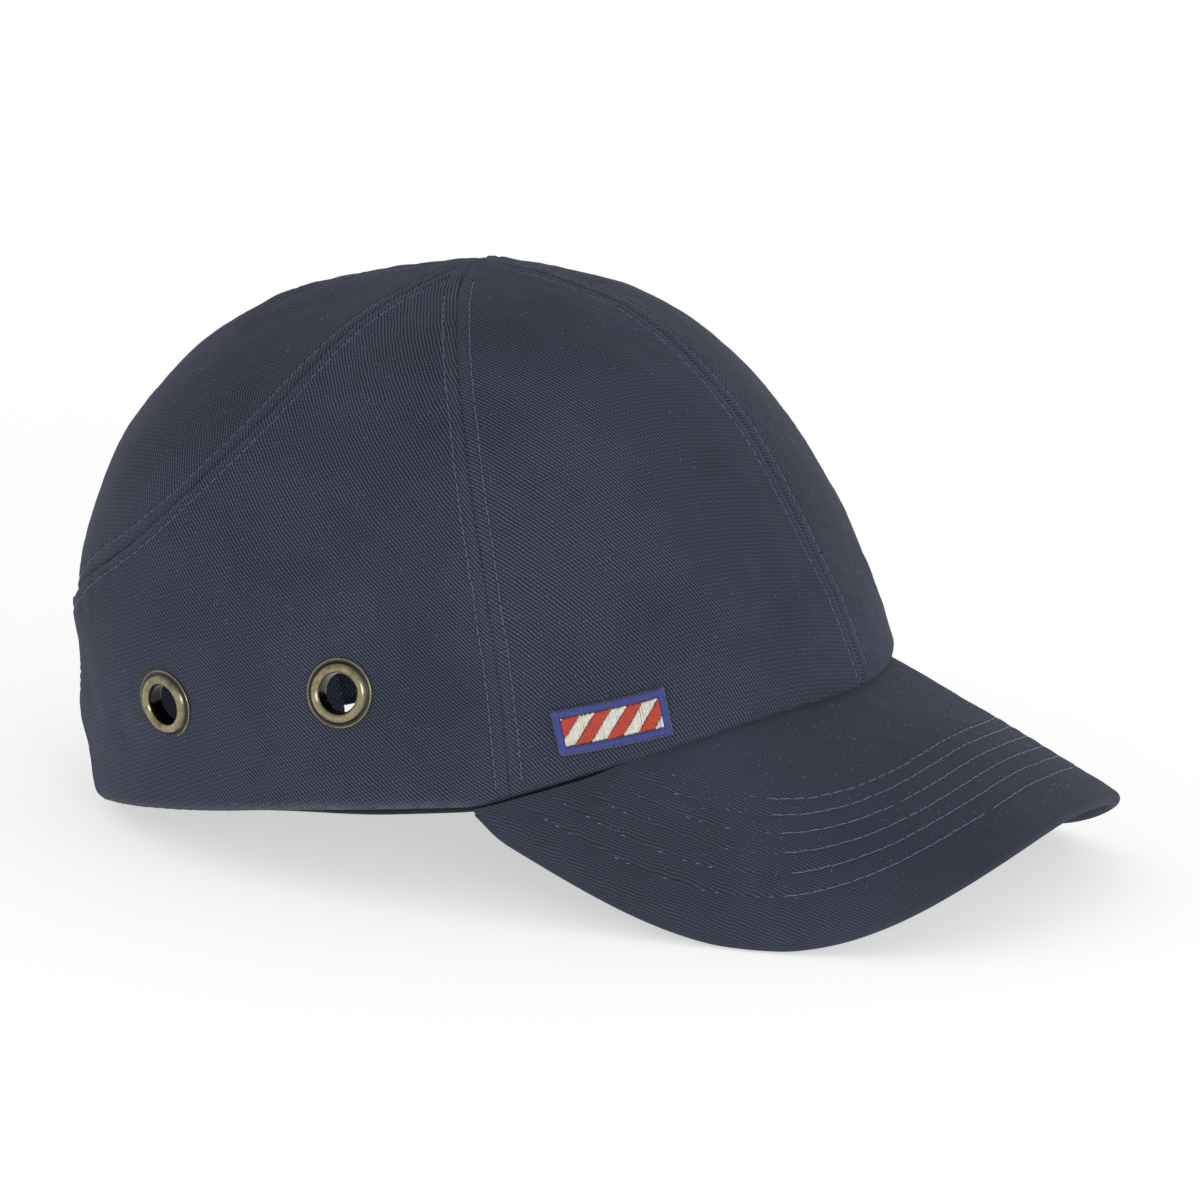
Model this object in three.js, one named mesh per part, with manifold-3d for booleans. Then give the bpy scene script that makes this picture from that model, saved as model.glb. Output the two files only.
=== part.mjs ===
// Bump cap: a twill baseball-style cap with a hard inner shell, foam pads,
// a stiff peak, brass vent eyelets and a hook-and-loop size strap at the back.
// Millimetres, +Z up, peak towards -Y, wearer's right is -X.
// It stands as it does on a table, on the peak's two side edges and the back strap.
import * as THREE from "three";
import Module from "manifold-3d";

// ---- driving dimensions -------------------------------------------------
const FABRIC = 1.0; // twill panel with its seam allowance
const GAP = 0.3; // running gap between neighbouring pieces
const SHELL_OFFSET = 4.6; // outer face of the hard shell below the cap's outer face
const SHELL_THICK = 2.2;
const SHELL_TUCK = [6.0, 1.8]; // the shell draws in this much at its lower back and front edges
const PAD_THICK = 5.0;
const SWEAT_THICK = 2.0;
const SWEAT_UP = 16.5; // sweatband above the hem
const SWEAT_DOWN = 1.4; // sweatband below the hem
const SWEAT_END = 136; // degrees round from the front
const PEAK_THICK = 3.6;
const COVER_THICK = 0.75;
const PEAK_END = 69; // degrees round from the front where the peak meets the hem
const EYELET_R = 8.75;
const EYELET_HOLE_R = 5.0;
const GAP_HALF = 27; // half angle of the half-moon opening
const ARCH_H = 41; // height of the half-moon opening above the hem
const STRAP_H = 21; // strap height
const REST_TILT = 5.86; // degrees the cap leans back as it stands
// Crown: a star-shaped surface about the point (0, 0, CROWN_Z). Its radius is
// a sum of cos(k * azimuth) * cos(elevation)^k times Chebyshev series in
// sin(elevation), one row for each k.
const CROWN_Z = 42;
const CROWN = [
  [116.25969, -39.37228, 25.40267, -12.60365, 4.09532, -0.97765, 0.1922],
  [2.29172, -15.13519, 13.0641, -5.38281, 4.45025, -2.08661],
  [11.61963, -1.88337, 1.49083, 0.29962, 0.62239],
  [-3.31733, -2.9043, -3.1281, -0.79815],
  [5.19319, -7.31724, 7.14482],
];
const PEAK_CUSP = [2.2, 9]; // height and spread (degrees) of the point at the top
const HEM = [13.160515, 0.042548249, -0.00055736681]; // hem height along the length
// Peak: top surface and plan outline.
const PK = { z: 30.051971, slope: 0.4777246, bend: 0.00061153012, k2: 0.0023133702, k4: 9.0249442e-07, kc: 1.8912399e-05,
  f0: 38.17936, len: 118.85876, half: 82.872968, n: 2.9858551 };
// Seam routes and trim positions on the crown: degrees from the top, as (forward, right).
const SIDE_SEAM = [[0, 0], [0.5, 5], [2, 10.5], [4, 16], [8.4, 25.8], [12.6, 34.3], [16.3, 41.2], [22.3, 52.2],
  [28.3, 62], [33.9, 71], [39.8, 80.2], [44.4, 87.9], [48.2, 94.2], [53.3, 103], [58, 111], [62, 118]];
const REAR_SEAM = [[0, 0], [-3.2, 8.5], [-7.6, 16.5], [-12, 23.5], [-16.2, 30.5], [-20.5, 37], [-25.5, 42.5],
  [-31, 46.5], [-37.5, 49.5], [-44, 50.6], [-50.5, 50.1], [-57.5, 47.6], [-66.5, 42.2], [-73.7, 35.9],
  [-79.3, 27], [-83.2, 14], [-85, 0]];
const REAR_CORNER = 13; // point of REAR_SEAM where the rear panel has its corner
const EYELETS = [[-4.23, 90.06], [-54.53, 75.99]];
const BADGE = [[52.76, 76.66], [70.92, 56.38], [76.95, 59.42], [58.13, 81.25]];
// Size strap: arcs about an axis square to the hem at the back.
const STRAP = { tilt: 14.8, r: 69, taper: 0.07, y: 110.2, z: -10.6, thick: 1.2 };
const STRAP_TAIL = [16, -16]; // degrees round from the back, wearer's right is +
const STRAP_BASE = [58, 18.4];
const STRAP_LOOP = [-58, 9];
const ORIGIN = [0, 21.05, 9.95]; // moves the box's bottom centre to the origin
// -------------------------------------------------------------------------

const D = Math.PI / 180;
const { sin, cos, hypot, atan2, abs, sqrt, exp, min, max, PI } = Math;
const wasm = await Module();
wasm.setup();

// ---- crown surface -------------------------------------------------------
function radius(th, ep) {
  const s = sin(ep), c = cos(ep);
  let r = 0;
  for (let k = 0; k < CROWN.length; k++) {
    const a = c ** k * cos(k * th);
    let t0 = 1, t1 = s, sum = 0;
    CROWN[k].forEach((q, j) => {
      sum += q * (j === 0 ? 1 : j === 1 ? s : 0);
      if (j >= 2) { const t2 = 2 * s * t1 - t0; sum += q * t2; t0 = t1; t1 = t2; }
    });
    r += a * sum;
  }
  return r + PEAK_CUSP[0] * exp(-abs(PI / 2 - ep) / (PEAK_CUSP[1] * D));
}
// Crown point from azimuth and elevation in radians; forward, right, up.
function crown(th, ep) {
  const r = radius(th, ep);
  return [r * cos(ep) * cos(th), r * cos(ep) * sin(th), CROWN_Z + r * sin(ep)];
}
const sub = (a, b) => [a[0] - b[0], a[1] - b[1], a[2] - b[2]];
const add = (a, b, k = 1) => [a[0] + b[0] * k, a[1] + b[1] * k, a[2] + b[2] * k];
const cross = (a, b) => [a[1] * b[2] - a[2] * b[1], a[2] * b[0] - a[0] * b[2], a[0] * b[1] - a[1] * b[0]];
const unit = (a) => { const l = hypot(...a) || 1; return [a[0] / l, a[1] / l, a[2] / l]; };
const dist = (a, b) => hypot(a[0] - b[0], a[1] - b[1], a[2] - b[2]);
// Crown point and outward normal from a chart point (degrees from the top).
function chartTE(x, y) { return [atan2(y, x), (90 - hypot(x, y)) * D]; }
function onChart(x, y) { const [t, e] = chartTE(x, y); return crown(t, e); }
function normalAt(x, y) {
  const h = 0.6;
  const a = sub(onChart(x + h, y), onChart(x - h, y)), b = sub(onChart(x, y + h), onChart(x, y - h));
  const n = unit(cross(a, b)), p = onChart(x, y);
  const out = n[0] * p[0] + n[1] * p[1] + n[2] * (p[2] - CROWN_Z);
  return out < 0 ? [-n[0], -n[1], -n[2]] : n;
}
// A point at depth d below the outer face.
function at(x, y, d) { return add(onChart(x, y), normalAt(x, y), -d); }

// ---- peak surface and hem -------------------------------------------------
function peakZ(f, s) {
  const x = f - 100;
  return PK.z - PK.slope * x - PK.bend * x * x - (PK.k2 * s * s + PK.k4 * s ** 4) - PK.kc * x * s * s;
}
function peakNormal(f, s) {
  const x = f - 100, zf = -PK.slope - 2 * PK.bend * x - PK.kc * s * s, zs = -2 * PK.k2 * s - 4 * PK.k4 * s ** 3 - 2 * PK.kc * x * s;
  return unit([-zf, -zs, 1]);
}
function hemZ(th, f, s, lift) {
  const w = 1 / (1 + exp(-((PEAK_END - 1 - abs(th) / D) / 2.2)));
  return w * (peakZ(f, s) + lift) + (1 - w) * (HEM[0] + HEM[1] * f + HEM[2] * f * f);
}
// Elevation at which the crown meets the hem, for an azimuth.
function hemE(th, lift = 0) {
  let lo = -32 * D, hi = 40 * D;
  for (let i = 0; i < 30; i++) {
    const m = (lo + hi) / 2, p = crown(th, m);
    if (p[2] > hemZ(th, p[0], p[1], lift)) hi = m; else lo = m;
  }
  return (lo + hi) / 2;
}
function hemR(th, lift = 0) { return 90 - hemE(th, lift) / D; }
// Chart point a height h above the hem.
function aboveHem(deg, h) {
  const th = deg * D, z0 = crown(th, hemE(th))[2] + h;
  let lo = -30 * D, hi = 80 * D;
  for (let i = 0; i < 30; i++) { const m = (lo + hi) / 2; if (crown(th, m)[2] > z0) hi = m; else lo = m; }
  const r = 90 - (lo + hi) / 2 / D;
  return [r * cos(th), r * sin(th)];
}

// ---- from the cap's own axes to the part's frame --------------------------
function place(p) {
  const a = REST_TILT * D;
  const f = p[0] * cos(a) - p[2] * sin(a), z = p[2] * cos(a) + p[0] * sin(a);
  return [-p[1] + ORIGIN[0], -f + ORIGIN[1], z + ORIGIN[2]];
}

// ---- solids ---------------------------------------------------------------
// A closed solid between two grids of points, outer[i][j] and inner[i][j].
function slab(outer, inner, closeI = false) {
  const ni = outer.length, nj = outer[0].length, v = [], t = [];
  const id = (side, i, j) => side * ni * nj + (i % ni) * nj + j;
  for (const g of [outer, inner]) for (const row of g) for (const p of row) v.push(...p);
  const quad = (a, b, c, d) => t.push(a, b, c, a, c, d);
  const ci = closeI ? ni : ni - 1;
  for (let i = 0; i < ci; i++)
    for (let j = 0; j < nj - 1; j++) {
      quad(id(0, i, j), id(0, i + 1, j), id(0, i + 1, j + 1), id(0, i, j + 1));
      quad(id(1, i, j), id(1, i, j + 1), id(1, i + 1, j + 1), id(1, i + 1, j));
    }
  for (let i = 0; i < ci; i++) {
    quad(id(0, i + 1, 0), id(0, i, 0), id(1, i, 0), id(1, i + 1, 0));
    quad(id(0, i, nj - 1), id(0, i + 1, nj - 1), id(1, i + 1, nj - 1), id(1, i, nj - 1));
  }
  if (!closeI)
    for (let j = 0; j < nj - 1; j++) {
      quad(id(0, 0, j), id(0, 0, j + 1), id(1, 0, j + 1), id(1, 0, j));
      quad(id(0, ni - 1, j + 1), id(0, ni - 1, j), id(1, ni - 1, j), id(1, ni - 1, j + 1));
    }
  return solid(v, t);
}
function solid(v, t) {
  let m = new wasm.Manifold(new wasm.Mesh({ numProp: 3, vertProperties: new Float32Array(v), triVerts: new Uint32Array(t) }));
  if (m.volume() < 0) {
    const r = [];
    for (let i = 0; i < t.length; i += 3) r.push(t[i], t[i + 2], t[i + 1]);
    m = new wasm.Manifold(new wasm.Mesh({ numProp: 3, vertProperties: new Float32Array(v), triVerts: new Uint32Array(r) }));
  }
  return m;
}
function meshOf(man, name, colour, rough, metal = 0) {
  const g = man.getMesh(), n = g.numProp, src = g.vertProperties, pos = new Float32Array((src.length / n) * 3);
  for (let i = 0; i < src.length / n; i++) pos.set([src[i * n], src[i * n + 1], src[i * n + 2]], i * 3);
  const geo = new THREE.BufferGeometry();
  geo.setAttribute("position", new THREE.BufferAttribute(pos, 3));
  geo.setIndex(new THREE.BufferAttribute(new Uint32Array(g.triVerts), 1));
  geo.computeVertexNormals();
  const mesh = new THREE.Mesh(geo, new THREE.MeshStandardMaterial({ color: colour, roughness: rough, metalness: metal }));
  mesh.name = name;
  return mesh;
}
// Points along a polyline, evenly spaced by length.
function resample(pts, n) {
  const l = [0];
  for (let i = 1; i < pts.length; i++) l.push(l[i - 1] + hypot(pts[i][0] - pts[i - 1][0], pts[i][1] - pts[i - 1][1]));
  const out = [];
  for (let k = 0; k < n; k++) {
    const s = (l[l.length - 1] * k) / (n - 1);
    let i = 1;
    while (i < pts.length - 1 && l[i] < s) i++;
    const u = l[i] === l[i - 1] ? 0 : (s - l[i - 1]) / (l[i] - l[i - 1]);
    out.push([pts[i - 1][0] + (pts[i][0] - pts[i - 1][0]) * u, pts[i - 1][1] + (pts[i][1] - pts[i - 1][1]) * u]);
  }
  return out;
}
function spline(pts, n) {
  const c = new THREE.CatmullRomCurve3(pts.map((p) => new THREE.Vector3(p[0], p[1], 0)), false, "centripetal");
  return c.getPoints(n).map((p) => [p.x, p.y]);
}
// Coons patch on the chart: left and right run down, top and bottom run across.
function coons(left, right, top, bottom) {
  const ni = top.length, nj = left.length, g = [];
  for (let i = 0; i < ni; i++) {
    const u = i / (ni - 1), row = [];
    for (let j = 0; j < nj; j++) {
      const v = j / (nj - 1), q = [];
      for (let k = 0; k < 2; k++)
        q.push((1 - v) * top[i][k] + v * bottom[i][k] + (1 - u) * left[j][k] + u * right[j][k]
          - ((1 - u) * (1 - v) * left[0][k] + u * (1 - v) * right[0][k] + (1 - u) * v * left[nj - 1][k] + u * v * right[nj - 1][k]));
      row.push(q);
    }
    g.push(row);
  }
  return g;
}
// A curved panel from a chart grid, between depths d0 and d1, its rim drawn in.
function panel(grid, d0, d1, inset, mirror, insets = {}) {
  const ni = grid.length, nj = grid[0].length;
  const put = (d) => grid.map((row) => row.map(([x, y]) => at(x, y, d)));
  const a = put(d0), b = put(d1);
  const A = a.map((r) => r.slice()), B = b.map((r) => r.slice());
  const pull = (G, S, i, j, i2, j2, k) => {
    const dir = unit(sub(S[i2][j2], S[i][j]));
    G[i][j] = add(G[i][j], dir, k);
  };
  for (const [G, S] of [[A, a], [B, b]]) {
    for (let j = 0; j < nj; j++) {
      pull(G, S, 0, j, 1, j, insets.left ?? inset);
      pull(G, S, ni - 1, j, ni - 2, j, insets.right ?? inset);
    }
    for (let i = 0; i < ni; i++) {
      pull(G, S, i, 0, i, 1, insets.top ?? inset);
      pull(G, S, i, nj - 1, i, nj - 2, insets.bottom ?? inset);
    }
  }
  const m = mirror ? ([f, s, z]) => [f, -s, z] : (p) => p;
  return slab(A.map((r) => r.map((p) => place(m(p)))), B.map((r) => r.map((p) => place(m(p)))));
}

// ---- seam lines on the chart ----------------------------------------------
const TOP_R = 1.0; // the panels stop this far from the exact top
const PEAK_LIFT = 1.5; // the front panels stand this far above the peak's top face
const sideSeamAll = spline(SIDE_SEAM, 300);
const rearSeamAll = spline(REAR_SEAM, 320);
function cutAtHem(line, lift) {
  const out = [];
  for (const p of line) {
    const th = atan2(p[1], p[0]);
    if (hypot(...p) > TOP_R * 1.0001 && hypot(...p) > hemR(th, lift)) {
      const q = out[out.length - 1], t2 = atan2(q[1], q[0]);
      const r = hemR(t2, lift);
      out.push([r * cos(t2), r * sin(t2)]);
      return out;
    }
    out.push(p);
  }
  return out;
}
function fromTop(line) {
  const i = line.findIndex((p) => hypot(...p) >= TOP_R);
  const p = line[i], k = TOP_R / hypot(...p);
  return [[p[0] * k, p[1] * k], ...line.slice(i + 1)];
}
const sideSeam = fromTop(cutAtHem(sideSeamAll, PEAK_LIFT));
const rearSeam = fromTop(rearSeamAll);
const cornerPoint = REAR_SEAM[REAR_CORNER];
let rearCornerI = 0;
rearSeam.forEach((p, i) => { if (hypot(p[0] - cornerPoint[0], p[1] - cornerPoint[1]) < hypot(rearSeam[rearCornerI][0] - cornerPoint[0], rearSeam[rearCornerI][1] - cornerPoint[1])) rearCornerI = i; });
const seamFoot = sideSeam[sideSeam.length - 1];
const seamFootDeg = atan2(seamFoot[1], seamFoot[0]) / D;
function arc(r, a0, a1, n) {
  return Array.from({ length: n }, (_, i) => { const t = (a0 + ((a1 - a0) * i) / (n - 1)) * D; return [r * cos(t), r * sin(t)]; });
}
function hemArc(a0, a1, n, lift = 0) {
  return Array.from({ length: n }, (_, i) => { const t = (a0 + ((a1 - a0) * i) / (n - 1)) * D, r = hemR(t, lift); return [r * cos(t), r * sin(t)]; });
}
// Half-moon edge from its foot on the hem to its top on the centre line.
function archLine(n, grow = 0) {
  return Array.from({ length: n }, (_, i) => {
    const a = (i / (n - 1)) * 90 * D;
    return aboveHem(180 - (GAP_HALF + grow / 1.7) * cos(a), (ARCH_H + grow) * sin(a) ** 0.9);
  });
}
const R_SEAM_BACK = hypot(...REAR_SEAM[REAR_SEAM.length - 1]);
const archTop = archLine(2)[1];

// Everything below the table top, so that what rests there is flat.
function floorBlock() {
  return wasm.Manifold.cube([600, 600, 50], true).translate([0, 0, -25]);
}

// ---- panels ---------------------------------------------------------------
const nf = 11, mf = 13;
const frontGrid = coons(
  resample([[TOP_R, 0], [hemR(0, PEAK_LIFT), 0]], mf),
  resample(sideSeam, mf),
  arc(TOP_R, 0, atan2(sideSeam[0][1], sideSeam[0][0]) / D, nf),
  hemArc(0, seamFootDeg, nf, PEAK_LIFT),
);
const ns = 20, nsArch = 7, ms = 12;
const sideBottom = [...hemArc(seamFootDeg, 180 - GAP_HALF, ns - nsArch, PEAK_LIFT), ...archLine(nsArch + 1).slice(1)];
const sideGrid = coons(
  resample(sideSeam, ms),
  resample([[-R_SEAM_BACK, 0], archTop], ms),
  [sideSeam[0], ...resample(rearSeam.slice(4), ns - 1)],
  sideBottom,
);
const nr = 10, mr = 12;
const rearGrid = coons(
  resample(rearSeam.slice(0, rearCornerI + 1), mr),
  resample([[-TOP_R, 0], [-R_SEAM_BACK, 0]], mr),
  arc(TOP_R, atan2(rearSeam[0][1], rearSeam[0][0]) / D, 180, nr),
  resample(rearSeam.slice(rearCornerI), nr),
);

const group = new THREE.Group();
const NAVY = 0x3b3f4b, NAVY2 = 0x34384a, BRASS = 0x96905f, BLACK = 0x17181b;
const put = (m) => { group.add(m); return m; };

// A cylinder along the surface normal at a chart point, from h0 to h1.
function normalFrame(x, y, mirror) {
  let p = onChart(x, y), n = normalAt(x, y);
  if (mirror) { p = [p[0], -p[1], p[2]]; n = [n[0], -n[1], n[2]]; }
  const P = place(p), N = unit(sub(place(add(p, n)), P));
  const ref = abs(N[2]) < 0.9 ? [0, 0, 1] : [0, 1, 0];
  const X = unit(cross(ref, N)), Y = cross(N, X);
  return { P, N, X, Y };
}
function turned(frame, profile, seg) {
  const v = [], t = [], n = profile.length;
  for (let i = 0; i < seg; i++) {
    const a = (2 * PI * i) / seg;
    for (const [r, h] of profile) {
      const q = add(add(add(frame.P, frame.X, r * cos(a)), frame.Y, r * sin(a)), frame.N, h);
      v.push(...q);
    }
  }
  for (let i = 0; i < seg; i++)
    for (let j = 0; j < n; j++) {
      const a = i * n + j, b = ((i + 1) % seg) * n + j, c = ((i + 1) % seg) * n + ((j + 1) % n), d = i * n + ((j + 1) % n);
      t.push(a, b, c, a, c, d);
    }
  return solid(v, t);
}
function pin(frame, r, h0, h1, seg) {
  const v = [], t = [];
  for (const h of [h0, h1])
    for (let i = 0; i < seg; i++) {
      const a = (2 * PI * i) / seg;
      v.push(...add(add(add(frame.P, frame.X, r * cos(a)), frame.Y, r * sin(a)), frame.N, h));
    }
  for (let i = 0; i < seg; i++) { const j = (i + 1) % seg; t.push(i, j, seg + j, i, seg + j, seg + i); }
  for (let i = 1; i < seg - 1; i++) { t.push(0, i + 1, i); t.push(seg, seg + i, seg + i + 1); }
  return solid(v, t);
}

for (const [side, mirror] of [["right", false], ["left", true]]) {
  put(meshOf(panel(frontGrid, 0, FABRIC, 0.23, mirror, { bottom: 0, top: 0 }), "front_panel_" + side, NAVY, 0.95));
  let sp = panel(sideGrid, 0, FABRIC, 0.23, mirror, { bottom: 0 });
  for (const [x, y] of EYELETS) sp = sp.subtract(pin(normalFrame(x, y, mirror), 5.8, -4, 4, 24));
  put(meshOf(sp, "side_panel_" + side, NAVY, 0.95));
  put(meshOf(panel(rearGrid, 0, FABRIC, 0.23, mirror, { top: 0 }), "rear_panel_" + side, NAVY, 0.95));
  ["front", "rear"].forEach((where, i) => {
    const fr = normalFrame(...EYELETS[i], mirror);
    const R = EYELET_R, r = EYELET_HOLE_R;
    put(meshOf(turned(fr, [[R, 0.35], [R, 0.62], [R - 0.9, 1.0], [R - 2.0, 1.65], [r + 0.7, 1.55], [r, 0.95], [r, -2.95],
      [r + 0.5, -3.45], [r + 1.8, -3.35], [r + 1.8, -3.0], [r + 0.5, -2.9], [r + 0.5, 0.35]], 20),
      "eyelet_" + side + "_" + where, BRASS, 0.35, 1));
    put(meshOf(turned(fr, [[R - 0.4, -2.55], [R - 0.4, -2.05], [r + 0.9, -2.05], [r + 0.9, -2.55]], 20),
      "eyelet_washer_" + side + "_" + where, BRASS, 0.4, 1));
  });
}

// ---- seam tapes inside the cap ---------------------------------------------
// A strip of constant width along a chart line, between two depths.
function strip(line, n, width, d0, d1, mirror, rows = 2) {
  const c = resample(line, n);
  const grid = c.map((p, i) => {
    const a = c[max(0, i - 1)], b = c[min(n - 1, i + 1)];
    const P = onChart(...p), T = unit(sub(onChart(...b), onChart(...a))), N = normalAt(...p), S = unit(cross(N, T));
    return { P, N, S, p };
  });
  const rowsOf = (d) => grid.map(({ P, N, S }) => Array.from({ length: rows }, (_, k) => {
    const w = (k / (rows - 1) - 0.5) * width;
    // keep the strip on the curved surface
    const q = add(P, S, w), ep = Math.asin((q[2] - CROWN_Z) / hypot(q[0], q[1], q[2] - CROWN_Z)), th = atan2(q[1], q[0]);
    const r = 90 - ep / D;
    return at(r * cos(th), r * sin(th), d);
  }));
  const m = mirror ? ([f, s, z]) => [f, -s, z] : (p) => p;
  return slab(rowsOf(d0).map((r) => r.map((p) => place(m(p)))), rowsOf(d1).map((r) => r.map((p) => place(m(p)))));
}
function clip(line, r0, h) {
  // the part of a line between r0 degrees from the top and h above the hem
  return line.filter((p) => {
    const th = atan2(p[1], p[0]);
    return hypot(...p) >= r0 && crown(th, (90 - hypot(...p)) * D)[2] > crown(th, hemE(th))[2] + h;
  });
}
const T0 = FABRIC + GAP + 0.45, T1 = T0 + 0.6;
const frontLine = Array.from({ length: 200 }, (_, i) => [0.5 + i * 0.6, 0]);
put(meshOf(strip(clip(frontLine, 6, SWEAT_UP + 1.5), 16, 9, T0, T1, false), "seam_tape_front", NAVY2, 0.95));
for (const [side, mirror] of [["right", false], ["left", true]]) {
  put(meshOf(strip(clip(sideSeamAll, 9, SWEAT_UP + 1.5), 16, 9, T0, T1, mirror), "seam_tape_side_" + side, NAVY2, 0.95));
  put(meshOf(strip(rearSeamAll.filter((p) => hypot(...p) > 11 && atan2(p[1], p[0]) < 177 * D), 26, 7.5, T0 + 0.3, T1 + 0.3, mirror), "seam_tape_rear_" + side, NAVY2, 0.95));
}

// ---- half-moon binding, inside the edge --------------------------------------
{
  const half = archLine(41, 2.3).slice(0), right = half.filter((p, i) => i > 0);
  const left = right.slice(0, -1).reverse().map(([x, y]) => [x, -y]);
  const line = [...right, ...left].filter(([x, y]) => {
    const th = atan2(y, x);
    return crown(th, (90 - hypot(x, y)) * D)[2] > crown(th, hemE(th))[2] + STRAP_H + 4;
  });
  put(meshOf(strip(line, 22, 3.6, T0, T1, false), "half_moon_binding", NAVY2, 0.95));
}

// ---- badge -------------------------------------------------------------------
{
  const n = 6, m = 3, g = [];
  for (let i = 0; i < n; i++) {
    const u = i / (n - 1), row = [];
    for (let j = 0; j < m; j++) {
      const v = j / (m - 1);
      row.push([0, 1].map((k) => (1 - u) * (1 - v) * BADGE[0][k] + u * (1 - v) * BADGE[1][k] + u * v * BADGE[2][k] + (1 - u) * v * BADGE[3][k]));
    }
    g.push(row);
  }
  put(meshOf(panel(g, -1.1, -0.35, 0, false), "badge", 0x3a4a96, 0.8));
}

// ---- sweatband ------------------------------------------------------------------
{
  const n = 45, outer = [], inner = [];
  for (let i = 0; i < n; i++) {
    const deg = -SWEAT_END + (2 * SWEAT_END * i) / (n - 1), th = deg * D;
    // over the peak the band hangs down past the peak's inner edge
    const w = 1 / (1 + exp(-((PEAK_END + 2 - abs(deg)) / 1.6)));
    const r = hemR(th), x = r * cos(th), y = r * sin(th);
    const d0 = FABRIC + GAP + w * 0.35, down = SWEAT_DOWN + w * (PEAK_THICK - 0.4);
    const ro = [], ri = [];
    for (const [h, dz] of [[0, -down], [0, 0], [SWEAT_UP * 0.5, 0], [SWEAT_UP, 0]]) {
      const q = h ? aboveHem(deg, h) : [x, y];
      ro.push(place(add(at(q[0], q[1], d0), [0, 0, dz])));
      ri.push(place(add(at(q[0], q[1], d0 + SWEAT_THICK), [0, 0, dz])));
    }
    outer.push(ro); inner.push(ri);
  }
  put(meshOf(slab(outer, inner), "sweatband", 0x24272f, 0.95));
}

// ---- peak: board and two covers ---------------------------------------------------
function outline(be, shrink = 0) {
  const f = PK.f0 + (PK.len - shrink) * abs(cos(be)) ** (2 / PK.n);
  const s = (PK.half - shrink) * abs(sin(be)) ** (2 / PK.n) * Math.sign(sin(be));
  return [f, s];
}
function peakLayer(top, bottom, shrink, innerDepth) {
  const n = 33, m = 7, A = [], B = [];
  for (let i = 0; i < n; i++) {
    const u = -1 + (2 * i) / (n - 1);
    const deg = u * (PEAK_END + 0.2), th = deg * D;
    const r = hemR(th), k = min(1, max(0, (abs(deg) - 34) / 18));
    const q = at(r * cos(th), r * sin(th), innerDepth + (-0.6 - innerDepth) * k * k * (3 - 2 * k));
    const nq = peakNormal(q[0], q[1]);
    const be = Math.sign(u) * abs(u) ** 0.92 * 90 * D * 0.995;
    const o = outline(be, shrink);
    const a = [], b = [];
    for (let j = 0; j < m; j++) {
      const v = j / (m - 1);
      // the inner edge is cut upright, the outer edge square to the peak
      for (const [off, out] of [[top, a], [bottom, b]]) {
        const k2 = off * (1 - v) ** 2, f = q[0] + nq[0] * k2 + (o[0] - q[0]) * v, s = q[1] + nq[1] * k2 + (o[1] - q[1]) * v;
        out.push(place(add([f, s, peakZ(f, s)], peakNormal(f, s), -off)));
      }
    }
    A.push(a); B.push(b);
  }
  return slab(A, B);
}
put(meshOf(peakLayer(0, COVER_THICK, 0, FABRIC), "peak_top_cover", NAVY, 0.95));
put(meshOf(peakLayer(COVER_THICK + GAP, PEAK_THICK - COVER_THICK - GAP, 1.6, FABRIC), "peak_board", BLACK, 0.6));
put(meshOf(peakLayer(PEAK_THICK - COVER_THICK, PEAK_THICK, 0, FABRIC).subtract(floorBlock()), "peak_under_cover", NAVY, 0.95));

// ---- hard inner shell ---------------------------------------------------------------
function shellFoot(deg) {
  // height of the shell's lower edge above the hem
  const a = abs(deg);
  const s = (x, lo, hi) => { const t = min(1, max(0, (x - lo) / (hi - lo))); return t * t * (3 - 2 * t); };
  return 24 + 16 * s(a, 25, 80) + 9 * s(a, 135, 175);
}
function ringGrid(n, m, foot, r0) {
  const g = [];
  for (let i = 0; i < n; i++) {
    const deg = -180 + (360 * i) / n, q = aboveHem(deg, foot(deg)), R = hypot(...q), row = [];
    for (let j = 0; j < m; j++) {
      const r = r0 + (R - r0) * (j / (m - 1)) ** 0.9;
      row.push([r * cos(deg * D), r * sin(deg * D)]);
    }
    g.push(row);
  }
  return g;
}
// A closed cap: a grid of rings with a point at the top on both faces.
function dome(n, m, foot, d0, d1) {
  const g = ringGrid(n, m, foot, 7), v = [], t = [];
  const ramp = (r, r0, r1) => max(0, min(1, (r - r0) / (r1 - r0))) ** 2;
  const tuck = (x, y) => SHELL_TUCK[0] * ramp(hypot(x, y), 50, 80) * max(0, -cos(atan2(y, x))) ** 2
    + SHELL_TUCK[1] * ramp(hypot(x, y), 38, 66) * max(0, cos(atan2(y, x))) ** 2;
  v.push(...place(at(1e-4, 0, d0)), ...place(at(1e-4, 0, d1)));
  for (const d of [d0, d1]) for (const row of g) for (const [x, y] of row) v.push(...place(at(x, y, d + tuck(x, y))));
  const id = (k, i, j) => 2 + k * n * m + (i % n) * m + j;
  for (let i = 0; i < n; i++) {
    t.push(0, id(0, i, 0), id(0, i + 1, 0)); t.push(1, id(1, i + 1, 0), id(1, i, 0));
    for (let j = 0; j < m - 1; j++) {
      t.push(id(0, i, j), id(0, i, j + 1), id(0, i + 1, j + 1), id(0, i, j), id(0, i + 1, j + 1), id(0, i + 1, j));
      t.push(id(1, i, j), id(1, i + 1, j + 1), id(1, i, j + 1), id(1, i, j), id(1, i + 1, j), id(1, i + 1, j + 1));
    }
    t.push(id(0, i, m - 1), id(1, i, m - 1), id(1, i + 1, m - 1), id(0, i, m - 1), id(1, i + 1, m - 1), id(0, i + 1, m - 1));
  }
  return solid(v, t);
}
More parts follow.
